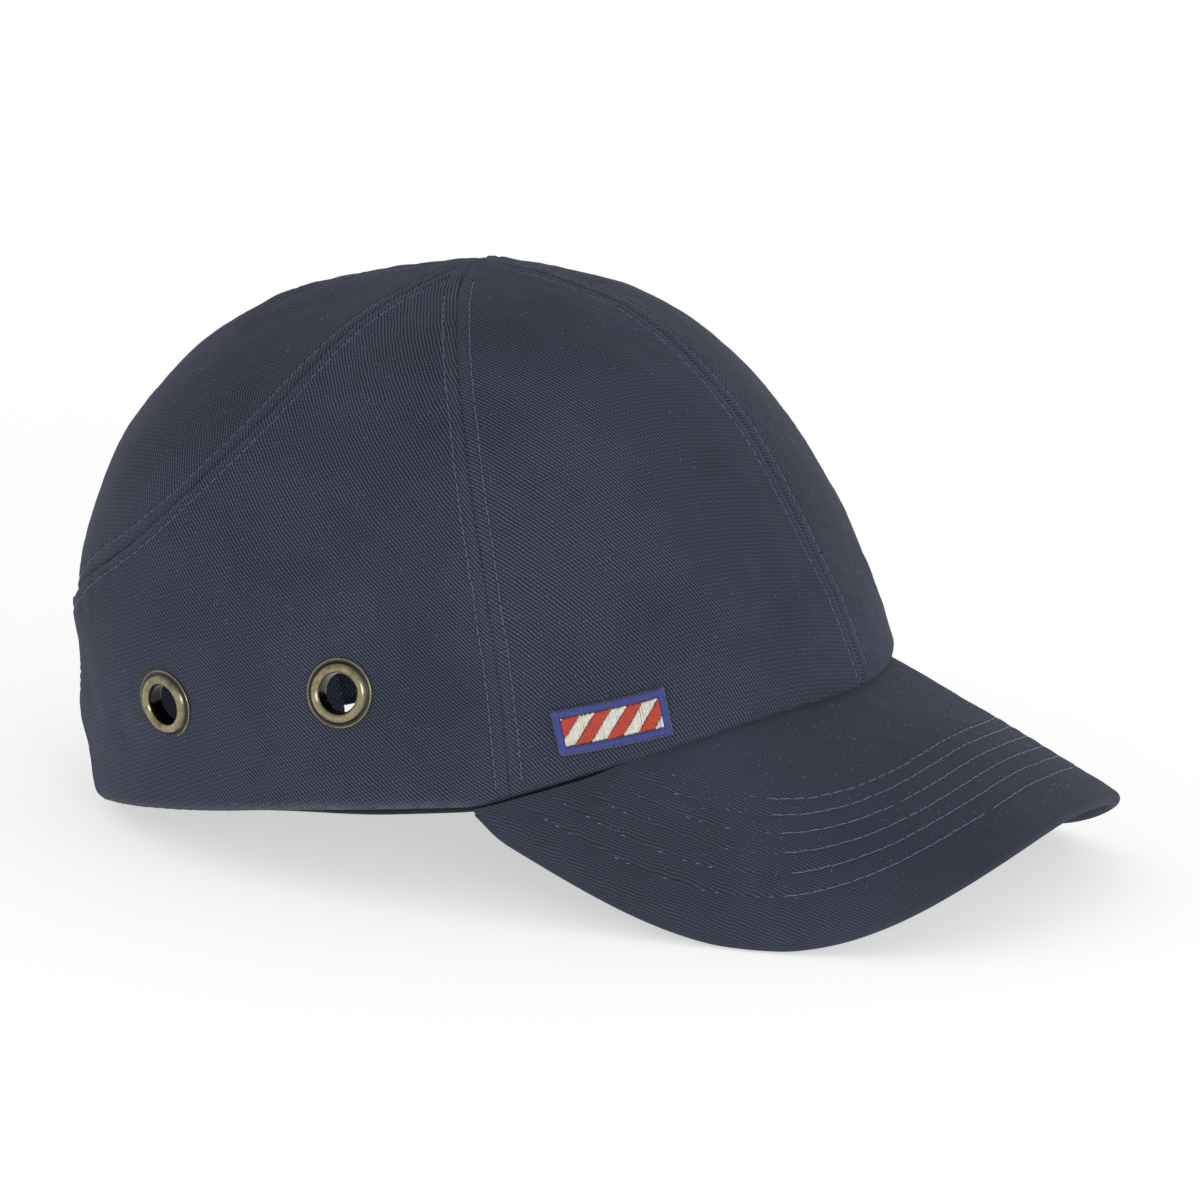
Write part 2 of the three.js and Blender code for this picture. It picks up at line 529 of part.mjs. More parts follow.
// A rounded slot tool across the shell at a chart point, long axis at an angle.
function slotTool(x, y, len, wid, angle) {
  const fr = normalFrame(x, y, false);
  // direction of steepest descent from the top, in the tangent plane
  const k = 1 + 1.5 / hypot(x, y);
  const q = place(onChart(x * k, y * k)), dir0 = unit(sub(q, fr.P));
  const down = unit(sub(dir0, fr.N.map((c) => c * (dir0[0] * fr.N[0] + dir0[1] * fr.N[1] + dir0[2] * fr.N[2]))));
  const acr = cross(fr.N, down), c = cos(angle * D), s = sin(angle * D);
  const L = [0, 1, 2].map((i) => down[i] * c + acr[i] * s), W = cross(fr.N, L);
  const v = [], t = [], ring = [];
  for (let i = 0; i < 12; i++) {
    const a = (PI * 2 * i) / 12 + PI / 12, e = Math.sign(cos(a)) * (len - wid) / 2;
    ring.push([e + (cos(a) * wid) / 2, (sin(a) * wid) / 2]);
  }
  for (const h of [-14, 2]) for (const [a, b] of ring) v.push(...add(add(add(fr.P, L, a), W, b), fr.N, h));
  const n = ring.length;
  for (let i = 0; i < n; i++) { const j = (i + 1) % n; t.push(i, j, n + j, i, n + j, n + i); }
  for (let i = 1; i < n - 1; i++) { t.push(0, i + 1, i); t.push(n, n + i, n + i + 1); }
  return solid(v, t);
}
{
  let shell = dome(40, 10, shellFoot, SHELL_OFFSET, SHELL_OFFSET + SHELL_THICK);
  for (const deg of [-150, -110, -70, -33, 33, 70, 110, 150])
    shell = shell.subtract(slotTool(46 * cos(deg * D), 46 * sin(deg * D), 30, 7, 0));
  put(meshOf(shell, "inner_shell", 0x1d1f22, 0.45));
}

// ---- foam pads inside the shell -------------------------------------------------------
const P0 = SHELL_OFFSET + SHELL_THICK + GAP + 0.7, P1 = P0 + PAD_THICK;
{
  // round pad at the top, 26 degrees across each way
  const n = 24, m = 4, v = [], t = [];
  v.push(...place(at(1e-4, 0, P0)), ...place(at(1e-4, 0, P1)));
  for (const d of [P0, P1]) for (let i = 0; i < n; i++) for (let j = 0; j < m; j++) {
    const r = 4 + (22 * j) / (m - 1), a = (360 * i) / n * D;
    v.push(...place(at(r * cos(a) * 1.1, r * sin(a) * 0.9, d)));
  }
  const id = (k, i, j) => 2 + k * n * m + (i % n) * m + j;
  for (let i = 0; i < n; i++) {
    t.push(0, id(0, i, 0), id(0, i + 1, 0)); t.push(1, id(1, i + 1, 0), id(1, i, 0));
    for (let j = 0; j < m - 1; j++) {
      t.push(id(0, i, j), id(0, i, j + 1), id(0, i + 1, j + 1), id(0, i, j), id(0, i + 1, j + 1), id(0, i + 1, j));
      t.push(id(1, i, j), id(1, i + 1, j + 1), id(1, i, j + 1), id(1, i, j), id(1, i + 1, j), id(1, i + 1, j + 1));
    }
    t.push(id(0, i, m - 1), id(1, i, m - 1), id(1, i + 1, m - 1), id(0, i, m - 1), id(1, i + 1, m - 1), id(0, i + 1, m - 1));
  }
  put(meshOf(solid(v, t), "crown_pad", 0x2a2c30, 0.9));
}
// A pad between two azimuths, from h0 to h1 above the shell's lower edge.
function bandPad(a0, a1, h0, h1, n) {
  const g = [];
  for (let i = 0; i < n; i++) {
    const deg = a0 + ((a1 - a0) * i) / (n - 1), row = [];
    for (let j = 0; j < 4; j++) row.push(aboveHem(deg, shellFoot(deg) + h1 + ((h0 - h1) * j) / 3));
    g.push(row);
  }
  const mid = (a0 + a1) / 2, tuck = mid > 140 ? SHELL_TUCK[0] - 0.6 : mid === 0 ? SHELL_TUCK[1] : 0;
  return panel(g, P0 + tuck, P1 + tuck, 0, false);
}
put(meshOf(bandPad(-38, 38, 3, 24, 12), "front_pad", 0x2a2c30, 0.9));
put(meshOf(bandPad(58, 106, 3, 22, 9), "side_pad_right", 0x2a2c30, 0.9));
put(meshOf(bandPad(-106, -58, 3, 22, 9), "side_pad_left", 0x2a2c30, 0.9));
put(meshOf(bandPad(152, 208, 3, 22, 9), "rear_pad", 0x2a2c30, 0.9));

// ---- size strap at the back --------------------------------------------------------------
// A point of the strap: angle round from the back, distance out from the nominal
// radius, and height along the strap's axis.
function strapPoint(deg, out, h) {
  const t = STRAP.tilt * D, a = deg * D, r = STRAP.r + out - STRAP.taper * h;
  const back = r * cos(a) - STRAP.r;
  return [-r * sin(a) + ORIGIN[0], STRAP.y + back * cos(t) + h * sin(t) + ORIGIN[1], STRAP.z - back * sin(t) + h * cos(t) + ORIGIN[2]];
}
function strapArc(a0, a1, out0, out1, h0, h1, round = 0) {
  const n = Math.max(4, Math.round(abs(a1 - a0) / 3)), A = [], B = [];
  for (let i = 0; i < n; i++) {
    const a = a0 + ((a1 - a0) * i) / (n - 1), e = i === n - 1 ? round : 0;
    A.push([strapPoint(a, out1, h0 + e), strapPoint(a, out1, h1 - e)]);
    B.push([strapPoint(a, out0, h0 + e), strapPoint(a, out0, h1 - e)]);
  }
  return slab(A, B);
}
put(meshOf(strapArc(...STRAP_BASE, -2.4, -1.2, 0.6, STRAP_H), "strap_right_base", NAVY2, 0.9));
put(meshOf(strapArc(...STRAP_TAIL, -2.4, -1.2, 0.6, STRAP_H, 2.5), "strap_right_tail", NAVY2, 0.9));
put(meshOf(strapArc(STRAP_TAIL[0] - 5, STRAP_TAIL[1] + 1.5, -3.2, -2.7, 2.6, STRAP_H - 2), "hook_tape", 0x1b1d22, 0.95));
put(meshOf(strapArc(-34, 8, -4.0, -3.5, 2.6, STRAP_H - 2), "loop_tape", 0x1b1d22, 0.95));
put(meshOf(strapArc(...STRAP_LOOP, -5.5, -4.3, -1.6, STRAP_H).subtract(floorBlock()), "strap_left", NAVY2, 0.9));

// ---- blank size label on the sweatband -------------------------------------------------------
{
  const g = [];
  for (let i = 0; i < 5; i++) {
    const deg = 116 + i * 3, row = [];
    for (let j = 0; j < 2; j++) row.push(aboveHem(deg, 13.5 - j * 11));
    g.push(row);
  }
  const d = FABRIC + GAP + SWEAT_THICK + GAP;
  put(meshOf(panel(g, d, d + 0.4, 0, false), "size_label", 0xd8d8d4, 0.8));
}
export default group;
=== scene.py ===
import math

import bpy
import numpy as np
from mathutils import Matrix, Vector


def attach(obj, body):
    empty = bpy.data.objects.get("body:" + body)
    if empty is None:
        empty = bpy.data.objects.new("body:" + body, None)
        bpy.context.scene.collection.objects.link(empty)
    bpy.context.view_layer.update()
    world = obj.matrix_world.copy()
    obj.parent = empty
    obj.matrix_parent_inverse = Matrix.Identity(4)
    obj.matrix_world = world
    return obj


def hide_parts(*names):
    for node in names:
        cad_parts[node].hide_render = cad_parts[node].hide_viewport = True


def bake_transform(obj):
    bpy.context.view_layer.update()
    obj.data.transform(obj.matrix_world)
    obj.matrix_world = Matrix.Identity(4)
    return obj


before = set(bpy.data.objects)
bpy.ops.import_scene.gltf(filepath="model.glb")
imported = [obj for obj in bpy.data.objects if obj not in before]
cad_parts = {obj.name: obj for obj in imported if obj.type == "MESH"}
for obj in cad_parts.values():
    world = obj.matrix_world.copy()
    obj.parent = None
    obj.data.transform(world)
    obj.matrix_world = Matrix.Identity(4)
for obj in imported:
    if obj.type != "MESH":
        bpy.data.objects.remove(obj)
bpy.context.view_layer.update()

D = math.pi / 180
rng = np.random.default_rng(7)

# ---------------------------------------------------------------- dimensions
FABRIC, GAP = 1.0, 0.3
SHELL_OFFSET, SHELL_THICK, SHELL_TUCK = 4.6, 2.2, (6.0, 1.8)
PAD_THICK, SWEAT_THICK, SWEAT_UP, SWEAT_DOWN, SWEAT_END = 5.0, 2.0, 16.5, 1.4, 136
PEAK_THICK, PEAK_END = 3.6, 69
EYELET_R, HOLE_R = 8.75, 5.0
GAP_HALF, ARCH_H, STRAP_H, TILT = 27, 41, 21, 5.86
CROWN_Z = 42
CROWN = [
    [116.25969, -39.37228, 25.40267, -12.60365, 4.09532, -0.97765, 0.1922],
    [2.29172, -15.13519, 13.0641, -5.38281, 4.45025, -2.08661],
    [11.61963, -1.88337, 1.49083, 0.29962, 0.62239],
    [-3.31733, -2.9043, -3.1281, -0.79815],
    [5.19319, -7.31724, 7.14482],
]
CUSP = (2.2, 9)
HEM = (13.160515, 0.042548249, -0.00055736681)
PK = dict(z=30.051971, slope=0.4777246, bend=0.00061153012, k2=0.0023133702, k4=9.0249442e-07,
          kc=1.8912399e-05, f0=38.17936, len=118.85876, half=82.872968, n=2.9858551)
SIDE_SEAM = [[0, 0], [0.5, 5], [2, 10.5], [4, 16], [8.4, 25.8], [12.6, 34.3], [16.3, 41.2], [22.3, 52.2],
             [28.3, 62], [33.9, 71], [39.8, 80.2], [44.4, 87.9], [48.2, 94.2], [53.3, 103], [58, 111], [62, 118]]
REAR_SEAM = [[0, 0], [-3.2, 8.5], [-7.6, 16.5], [-12, 23.5], [-16.2, 30.5], [-20.5, 37], [-25.5, 42.5],
             [-31, 46.5], [-37.5, 49.5], [-44, 50.6], [-50.5, 50.1], [-57.5, 47.6], [-66.5, 42.2], [-73.7, 35.9],
             [-79.3, 27], [-83.2, 14], [-85, 0]]
REAR_CORNER = 13
EYELETS = [(-4.23, 90.06), (-54.53, 75.99)]
BADGE = np.array([[52.76, 76.66], [70.92, 56.38], [76.95, 59.42], [58.13, 81.25]])
STRAP = dict(tilt=14.8, r=69, taper=0.07, y=110.2, z=-10.6)
ORIGIN = np.array([0, 21.05, 9.95])


# ------------------------------------------------------------------ surfaces
def radius(th, ep):
    s, c = np.sin(ep), np.cos(ep)
    r = 0.0
    for k, row in enumerate(CROWN):
        r = r + c ** k * np.cos(k * th) * np.polynomial.chebyshev.chebval(s, row)
    return r + CUSP[0] * np.exp(-np.abs(np.pi / 2 - ep) / (CUSP[1] * D))


def crown(th, ep):
    r = radius(th, ep)
    return np.stack([r * np.cos(ep) * np.cos(th), r * np.cos(ep) * np.sin(th), CROWN_Z + r * np.sin(ep)], -1)


def on(q):
    """Crown point, in the cap's own axes (forward, right, up), of chart points in degrees from the top."""
    q = np.asarray(q, float)
    return crown(np.arctan2(q[..., 1], q[..., 0]), (90 - np.hypot(q[..., 0], q[..., 1])) * D)


def unit(v):
    return v / np.maximum(np.linalg.norm(v, axis=-1, keepdims=True), 1e-12)


def normal(q):
    q = np.asarray(q, float)
    h = 0.6
    dx, dy = np.array([h, 0]), np.array([0, h])
    n = unit(np.cross(on(q + dx) - on(q - dx), on(q + dy) - on(q - dy)))
    out = (n * (on(q) - [0, 0, CROWN_Z])).sum(-1, keepdims=True)
    return np.where(out < 0, -n, n)


def at(q, d):
    """A point at depth d below the outer face."""
    d = np.asarray(d, float)
    return on(q) - normal(q) * (d[..., None] if d.ndim else d)


def peak_z(f, s):
    x = f - 100
    return PK["z"] - PK["slope"] * x - PK["bend"] * x * x - (PK["k2"] * s * s + PK["k4"] * s ** 4) - PK["kc"] * x * s * s


def peak_n(f, s):
    x = f - 100
    zf = -PK["slope"] - 2 * PK["bend"] * x - PK["kc"] * s * s
    zs = -2 * PK["k2"] * s - 4 * PK["k4"] * s ** 3 - 2 * PK["kc"] * x * s
    return unit(np.stack([-zf, -zs, np.ones_like(zf)], -1))


def hem_z(th, p, lift):
    w = 1 / (1 + np.exp(-((PEAK_END - 1 - np.abs(th) / D) / 2.2)))
    f, s = p[..., 0], p[..., 1]
    return w * (peak_z(f, s) + lift) + (1 - w) * (HEM[0] + HEM[1] * f + HEM[2] * f * f)


def hem_e(th, lift=0.0):
    th = np.asarray(th, float)
    lo, hi = np.full(th.shape, -32 * D), np.full(th.shape, 40 * D)
    for _ in range(30):
        m = (lo + hi) / 2
        p = crown(th, m)
        up = p[..., 2] > hem_z(th, p, lift)
        hi, lo = np.where(up, m, hi), np.where(up, lo, m)
    return (lo + hi) / 2


def hem_r(th, lift=0.0):
    return 90 - hem_e(th, lift) / D


def above_hem(deg, h):
    """Chart point a height h above the hem."""
    th = np.asarray(deg, float) * D
    th, h = np.broadcast_arrays(th, np.asarray(h, float))
    z0 = crown(th, hem_e(th))[..., 2] + h
    lo, hi = np.full(th.shape, -34 * D), np.full(th.shape, 80 * D)
    for _ in range(30):
        m = (lo + hi) / 2
        up = crown(th, m)[..., 2] > z0
        hi, lo = np.where(up, m, hi), np.where(up, lo, m)
    r = 90 - (lo + hi) / 2 / D
    return np.stack([r * np.cos(th), r * np.sin(th)], -1)


def turn(v):
    a = TILT * D
    return np.stack([-v[..., 1], -(v[..., 0] * np.cos(a) - v[..., 2] * np.sin(a)), v[..., 2] * np.cos(a) + v[..., 0] * np.sin(a)], -1)


def place(p):
    """From the cap's own axes, in millimetres, to the row frame, in metres."""
    return (turn(np.asarray(p, float)) + ORIGIN) / 1000


def flip(p):
    return p * np.array([1, -1, 1])


# ------------------------------------------------------------------- lines
def line_len(p):
    return np.concatenate([[0], np.cumsum(np.linalg.norm(np.diff(p, axis=0), axis=1))])


def at_len(p, s):
    l = line_len(p)
    return np.stack([np.interp(s, l, p[:, k]) for k in range(p.shape[1])], -1)


def resample(p, n, warp=None):
    p = np.asarray(p, float)
    t = np.linspace(0, 1, n) if warp is None else warp(np.linspace(0, 1, n))
    return at_len(p, t * line_len(p)[-1])


def spline(pts, n):
    """Centripetal Catmull-Rom through the points."""
    p = np.asarray(pts, float)
    p = np.vstack([2 * p[0] - p[1], p, 2 * p[-1] - p[-2]])
    out, per = [], max(2, int(np.ceil(n / (len(p) - 3))))
    for i in range(1, len(p) - 2):
        a, b, c, d = p[i - 1], p[i], p[i + 1], p[i + 2]
        t = [0.0]
        for u, v in ((a, b), (b, c), (c, d)):
            t.append(t[-1] + max(np.linalg.norm(v - u), 1e-6) ** 0.5)
        x = np.linspace(t[1], t[2], per, endpoint=False)[:, None]
        A1 = (t[1] - x) / (t[1] - t[0]) * a + (x - t[0]) / (t[1] - t[0]) * b
        A2 = (t[2] - x) / (t[2] - t[1]) * b + (x - t[1]) / (t[2] - t[1]) * c
        A3 = (t[3] - x) / (t[3] - t[2]) * c + (x - t[2]) / (t[3] - t[2]) * d
        B1 = (t[2] - x) / (t[2] - t[0]) * A1 + (x - t[0]) / (t[2] - t[0]) * A2
        B2 = (t[3] - x) / (t[3] - t[1]) * A2 + (x - t[1]) / (t[3] - t[1]) * A3
        out.append((t[2] - x) / (t[2] - t[1]) * B1 + (x - t[1]) / (t[2] - t[1]) * B2)
    out.append(p[-2][None])
    return np.vstack(out)


def ends(a):
    """Closer spacing towards both ends."""
    return lambda t: t - (1 - a) * np.sin(2 * np.pi * t) / (2 * np.pi)


def late(a):
    """Closer spacing towards the far end only."""
    return lambda t: t + (1 - a) * (t - t * t)


def coons(left, right, top, bottom, u, v):
    u, v = u[:, None, None], v[None, :, None]
    g = (1 - v) * top[:, None] + v * bottom[:, None] + (1 - u) * left[None] + u * right[None]
    return g - ((1 - u) * (1 - v) * left[0] + u * (1 - v) * right[0] + (1 - u) * v * left[-1] + u * v * right[-1])


def near(P, line, side=None):
    """Distance from each point to the line, and how far along it."""
    line = np.asarray(line, float)
    n = max(2, int(line_len(line)[-1] / 0.45))
    L = at_len(line, np.linspace(0, line_len(line)[-1], n))
    sh, Q = P.shape[:-1], P.reshape(-1, 3)
    d, k = np.empty(len(Q)), np.empty(len(Q), int)
    ll = (L * L).sum(1)
    for i in range(0, len(Q), 4000):
        q = Q[i:i + 4000]
        m = (q * q).sum(1)[:, None] + ll[None] - 2 * q @ L.T
        k[i:i + 4000] = m.argmin(1)
        d[i:i + 4000] = np.sqrt(np.maximum(m.min(1), 0))
    return d.reshape(sh), (line_len(L)[k]).reshape(sh)


# -------------------------------------------------------------------- noise
class Waves:
    """Smooth, repeatable folds: a sum of plane waves in space."""

    def __init__(self, seed, low, high, n=26):
        r = np.random.default_rng(seed)
        self.d = unit(r.normal(size=(n, 3))) * (2 * np.pi / r.uniform(low, high, (n, 1)))
        self.p, self.a = r.uniform(0, 2 * np.pi, n), r.uniform(0.5, 1, n)
        self.k = 1 / np.sqrt((self.a ** 2).sum() / 2)

    def __call__(self, P):
        return (np.sin(P @ self.d.T + self.p) * self.a).sum(-1) * self.k


folds, wrinkle, fine = Waves(3, 34, 80), Waves(5, 11, 24), Waves(9, 3.5, 8)


def g(d, c, w):
    return np.exp(-((d - c) / w) ** 2)


def smooth(x, a, b):
    t = np.clip((x - a) / (b - a), 0, 1)
    return t * t * (3 - 2 * t)


# -------------------------------------------------------------------- meshes
def mesh_of(name, V, F, uv=None, wear_and_shade=None):
    me = bpy.data.meshes.new(name)
    V = np.ascontiguousarray(np.asarray(V, np.float32).reshape(-1, 3))
    F = np.ascontiguousarray(np.asarray(F, np.int32))
    me.vertices.add(len(V))
    me.vertices.foreach_set("co", V.ravel())
    me.loops.add(F.size)
    me.loops.foreach_set("vertex_index", F.ravel())
    me.polygons.add(len(F))
    me.polygons.foreach_set("loop_start", np.arange(0, F.size, F.shape[1], dtype=np.int32))
    me.update(calc_edges=True)
    if uv is not None:
        lay = me.uv_layers.new(name="cloth")
        lay.data.foreach_set("uv", np.asarray(uv, np.float32).reshape(-1, 2)[F.ravel()].ravel())
    # this attribute holds real wear on the cloth, and painted shade and painted reflection on the brass eyelets
    if wear_and_shade is not None:
        me.attributes.new("wear_and_shade", "FLOAT", "POINT").data.foreach_set("value", np.asarray(wear_and_shade, np.float32).ravel())
    me.validate()
    me.shade_smooth()
    o = bpy.data.objects.new(name, me)
    bpy.context.scene.collection.objects.link(o)
    return o


def outward(me):
    """Turns the faces outwards if the closed mesh is inside out."""
    me.calc_loop_triangles()
    p = np.zeros(len(me.vertices) * 3, np.float32)
    me.vertices.foreach_get("co", p)
    p = p.reshape(-1, 3).astype(float)
    p -= p.mean(0)
    t = np.zeros(len(me.loop_triangles) * 3, np.int32)
    me.loop_triangles.foreach_get("vertices", t)
    t = t.reshape(-1, 3)
    if (p[t[:, 0]] * np.cross(p[t[:, 1]], p[t[:, 2]])).sum() < 0:
        me.flip_normals()


def slab(name, A, B, uv=None, wear_and_shade=None, keep=None, loop=False, bulge=0.35):
    """Closed cloth between grids A (outer) and B (inner), in millimetres in the row frame, with a rounded rim.
    keep marks the cells that are there; loop closes the first direction."""
    ni, nj = A.shape[:2]
    ci = ni if loop else ni - 1
    I, J = np.meshgrid(np.arange(ci), np.arange(nj - 1), indexing="ij")
    if keep is None:
        keep = np.ones((ci, nj - 1), bool)
    I2 = (I + 1) % ni
    a, b, c, d = I * nj + J, I2 * nj + J, I2 * nj + J + 1, I * nj + J + 1
    N = ni * nj
    F = [np.stack([a, b, c, d], -1)[keep], np.stack([a, d, c, b], -1)[keep] + N]
    V = [A.reshape(-1, 3), B.reshape(-1, 3)]
    # rim: every edge with a cell on one side only
    pad = np.zeros((ci + 2, nj + 1), bool)
    pad[1:-1, 1:-1] = keep
    if loop:
        pad[0, 1:-1], pad[-1, 1:-1] = keep[-1], keep[0]
    edges = []
    for s, e, di, dj in ((a, b, 0, -1), (b, c, 1, 0), (c, d, 0, 1), (d, a, -1, 0)):
        m = keep & ~pad[1 + di:ci + 1 + di, 1 + dj:nj + dj]
        edges.append(np.stack([s[m], e[m]], -1))
    E = np.vstack(edges)
    if len(E):
        ids = np.unique(E)
        P, Q = A.reshape(-1, 3), B.reshape(-1, 3)
        # outward direction on the rim: away from the kept cells
        cen = np.zeros((N, 3))
        cnt = np.zeros(N)
        mid = (P[a] + P[c])[keep] / 2
        for q in (a, b, c, d):
            np.add.at(cen, q[keep], mid)
            np.add.at(cnt, q[keep], 1)
        out = unit(P[ids] - cen[ids] / np.maximum(cnt[ids], 1)[:, None])
        th = np.linalg.norm(P[ids] - Q[ids], axis=-1, keepdims=True)
        rim = (P[ids] + Q[ids]) / 2 + out * th * bulge
        back = np.full(N, -1)
        back[ids] = 2 * N + np.arange(len(ids))
        V.append(rim)
        F += [np.stack([E[:, 1], E[:, 0], back[E[:, 0]], back[E[:, 1]]], -1),
              np.stack([back[E[:, 1]], back[E[:, 0]], E[:, 0] + N, E[:, 1] + N], -1)]
        uvs = [uv.reshape(-1, 2)] * 2 + [uv.reshape(-1, 2)[ids]] if uv is not None else None
        ws = [wear_and_shade.ravel()] * 2 + [wear_and_shade.ravel()[ids]] if wear_and_shade is not None else None
    else:
        uvs = [uv.reshape(-1, 2)] * 2 if uv is not None else None
        ws = [wear_and_shade.ravel()] * 2 if wear_and_shade is not None else None
    F, V = np.vstack(F), np.vstack(V)
    used, F = np.unique(F, return_inverse=True)
    F = F.reshape(-1, 4)
    V = V[used] / 1000
    uvs = np.vstack(uvs)[used] / 1000 if uvs is not None else None
    ws = np.concatenate(ws)[used] if ws is not None else None
    o = mesh_of(name, V, F, uvs, ws)
    outward(o.data)
    return o


def grid_n(G):
    n = unit(np.cross(np.gradient(G, axis=0), np.gradient(G, axis=1)))
    return n


def tubes(name, paths, r, sides=6, flat=0.8):
    """Short threads: each path is (k, 3) points in metres, in the row frame, with its own outward directions."""
    V, F, base = [], [], 0
    ang = np.arange(sides) * 2 * np.pi / sides
    for P, N in paths:
        k = len(P)
        T = unit(np.gradient(P, axis=0))
        Nn = unit(N - (N * T).sum(-1, keepdims=True) * T)
        S = np.cross(T, Nn)
        prof = np.ones(k)
        prof[0] = prof[-1] = 0.45
        ring = P[:, None] + r * prof[:, None, None] * (np.cos(ang)[None, :, None] * S[:, None] + flat * np.sin(ang)[None, :, None] * Nn[:, None])
        V.append(ring.reshape(-1, 3))
        V.append(P[[0]] - T[[0]] * r * 0.35)
        V.append(P[[-1]] + T[[-1]] * r * 0.35)
        i, j = np.meshgrid(np.arange(k - 1), np.arange(sides), indexing="ij")
        j2 = (j + 1) % sides
        q = np.stack([i * sides + j, i * sides + j2, (i + 1) * sides + j2, (i + 1) * sides + j], -1).reshape(-1, 4)
        s = np.arange(sides)
        s2 = (s + 1) % sides
        c0 = np.stack([np.full(sides, k * sides), s2, s, np.full(sides, -1)], -1)
        c1 = np.stack([np.full(sides, k * sides + 1), (k - 1) * sides + s, (k - 1) * sides + s2, np.full(sides, -1)], -1)
        F += [(base, q), (base, c0), (base, c1)]
        base += k * sides + 2
    V = np.vstack(V)
    quads = np.vstack([q + b for b, q in F if q[0, 3] != -1])
    tris = np.vstack([q[:, :3] + b for b, q in F if q[0, 3] == -1])
    me = bpy.data.meshes.new(name)
    me.vertices.add(len(V))
    me.vertices.foreach_set("co", V.astype(np.float32).ravel())
    loops = np.concatenate([quads.ravel(), tris.ravel()]).astype(np.int32)
    me.loops.add(len(loops))
    me.loops.foreach_set("vertex_index", loops)
    start = np.concatenate([np.arange(len(quads)) * 4, len(quads) * 4 + np.arange(len(tris)) * 3]).astype(np.int32)
    me.polygons.add(len(start))
    me.polygons.foreach_set("loop_start", start)
    me.update(calc_edges=True)
    me.validate()
    me.shade_smooth()
    outward(me)
    o = bpy.data.objects.new(name, me)
    bpy.context.scene.collection.objects.link(o)
    return o


# ----------------------------------------------------------------- materials
class Nodes:
    def __init__(self, name):
        self.m = bpy.data.materials.new(name)
        self.m.use_nodes = True
        self.t = self.m.node_tree
        self.b = self.t.nodes["Principled BSDF"]

    def new(self, kind, **inputs):
        n = self.t.nodes.new(kind)
        for k, v in inputs.items():
            self.put(n, k, v)
        return n

    def put(self, n, k, v):
        s = n.inputs[int(k[1:])] if k[0] == "i" and k[1:].isdigit() else n.inputs[k.replace("_", " ")]
        if isinstance(v, bpy.types.NodeSocket):
            self.t.links.new(v, s)
        else:
            s.default_value = v

    def math(self, op, a, b=0.0, c=0.0, clamp=False):
        n = self.new("ShaderNodeMath", i0=a, i1=b, i2=c)
        n.operation, n.use_clamp = op, clamp
        return n.outputs[0]

    def mix(self, f, a, b, blend="MIX"):
        n = self.t.nodes.new("ShaderNodeMix")
        n.data_type, n.blend_type = "RGBA", blend
        for k, v in ((0, f), (6, a), (7, b)):
            if isinstance(v, bpy.types.NodeSocket):
                self.t.links.new(v, n.inputs[k])
            else:
                n.inputs[k].default_value = v
        return n.outputs[2]

    def noise(self, vec, scale, detail=2.0, rough=0.5):
        n = self.new("ShaderNodeTexNoise", Vector=vec, Scale=scale, Detail=detail, Roughness=rough)
        return n.outputs["Fac"]

    def ramp(self, f, stops):
        n = self.new("ShaderNodeValToRGB", Fac=f)
        e = n.color_ramp.elements
        while len(e) < len(stops):
            e.new(0.5)
        for x, (p, c) in zip(e, stops):
            x.position, x.color = p, (c if len(c) == 4 else (*c, 1))
        return n.outputs["Color"]


def rgb(c):
    return (*c, 1.0)


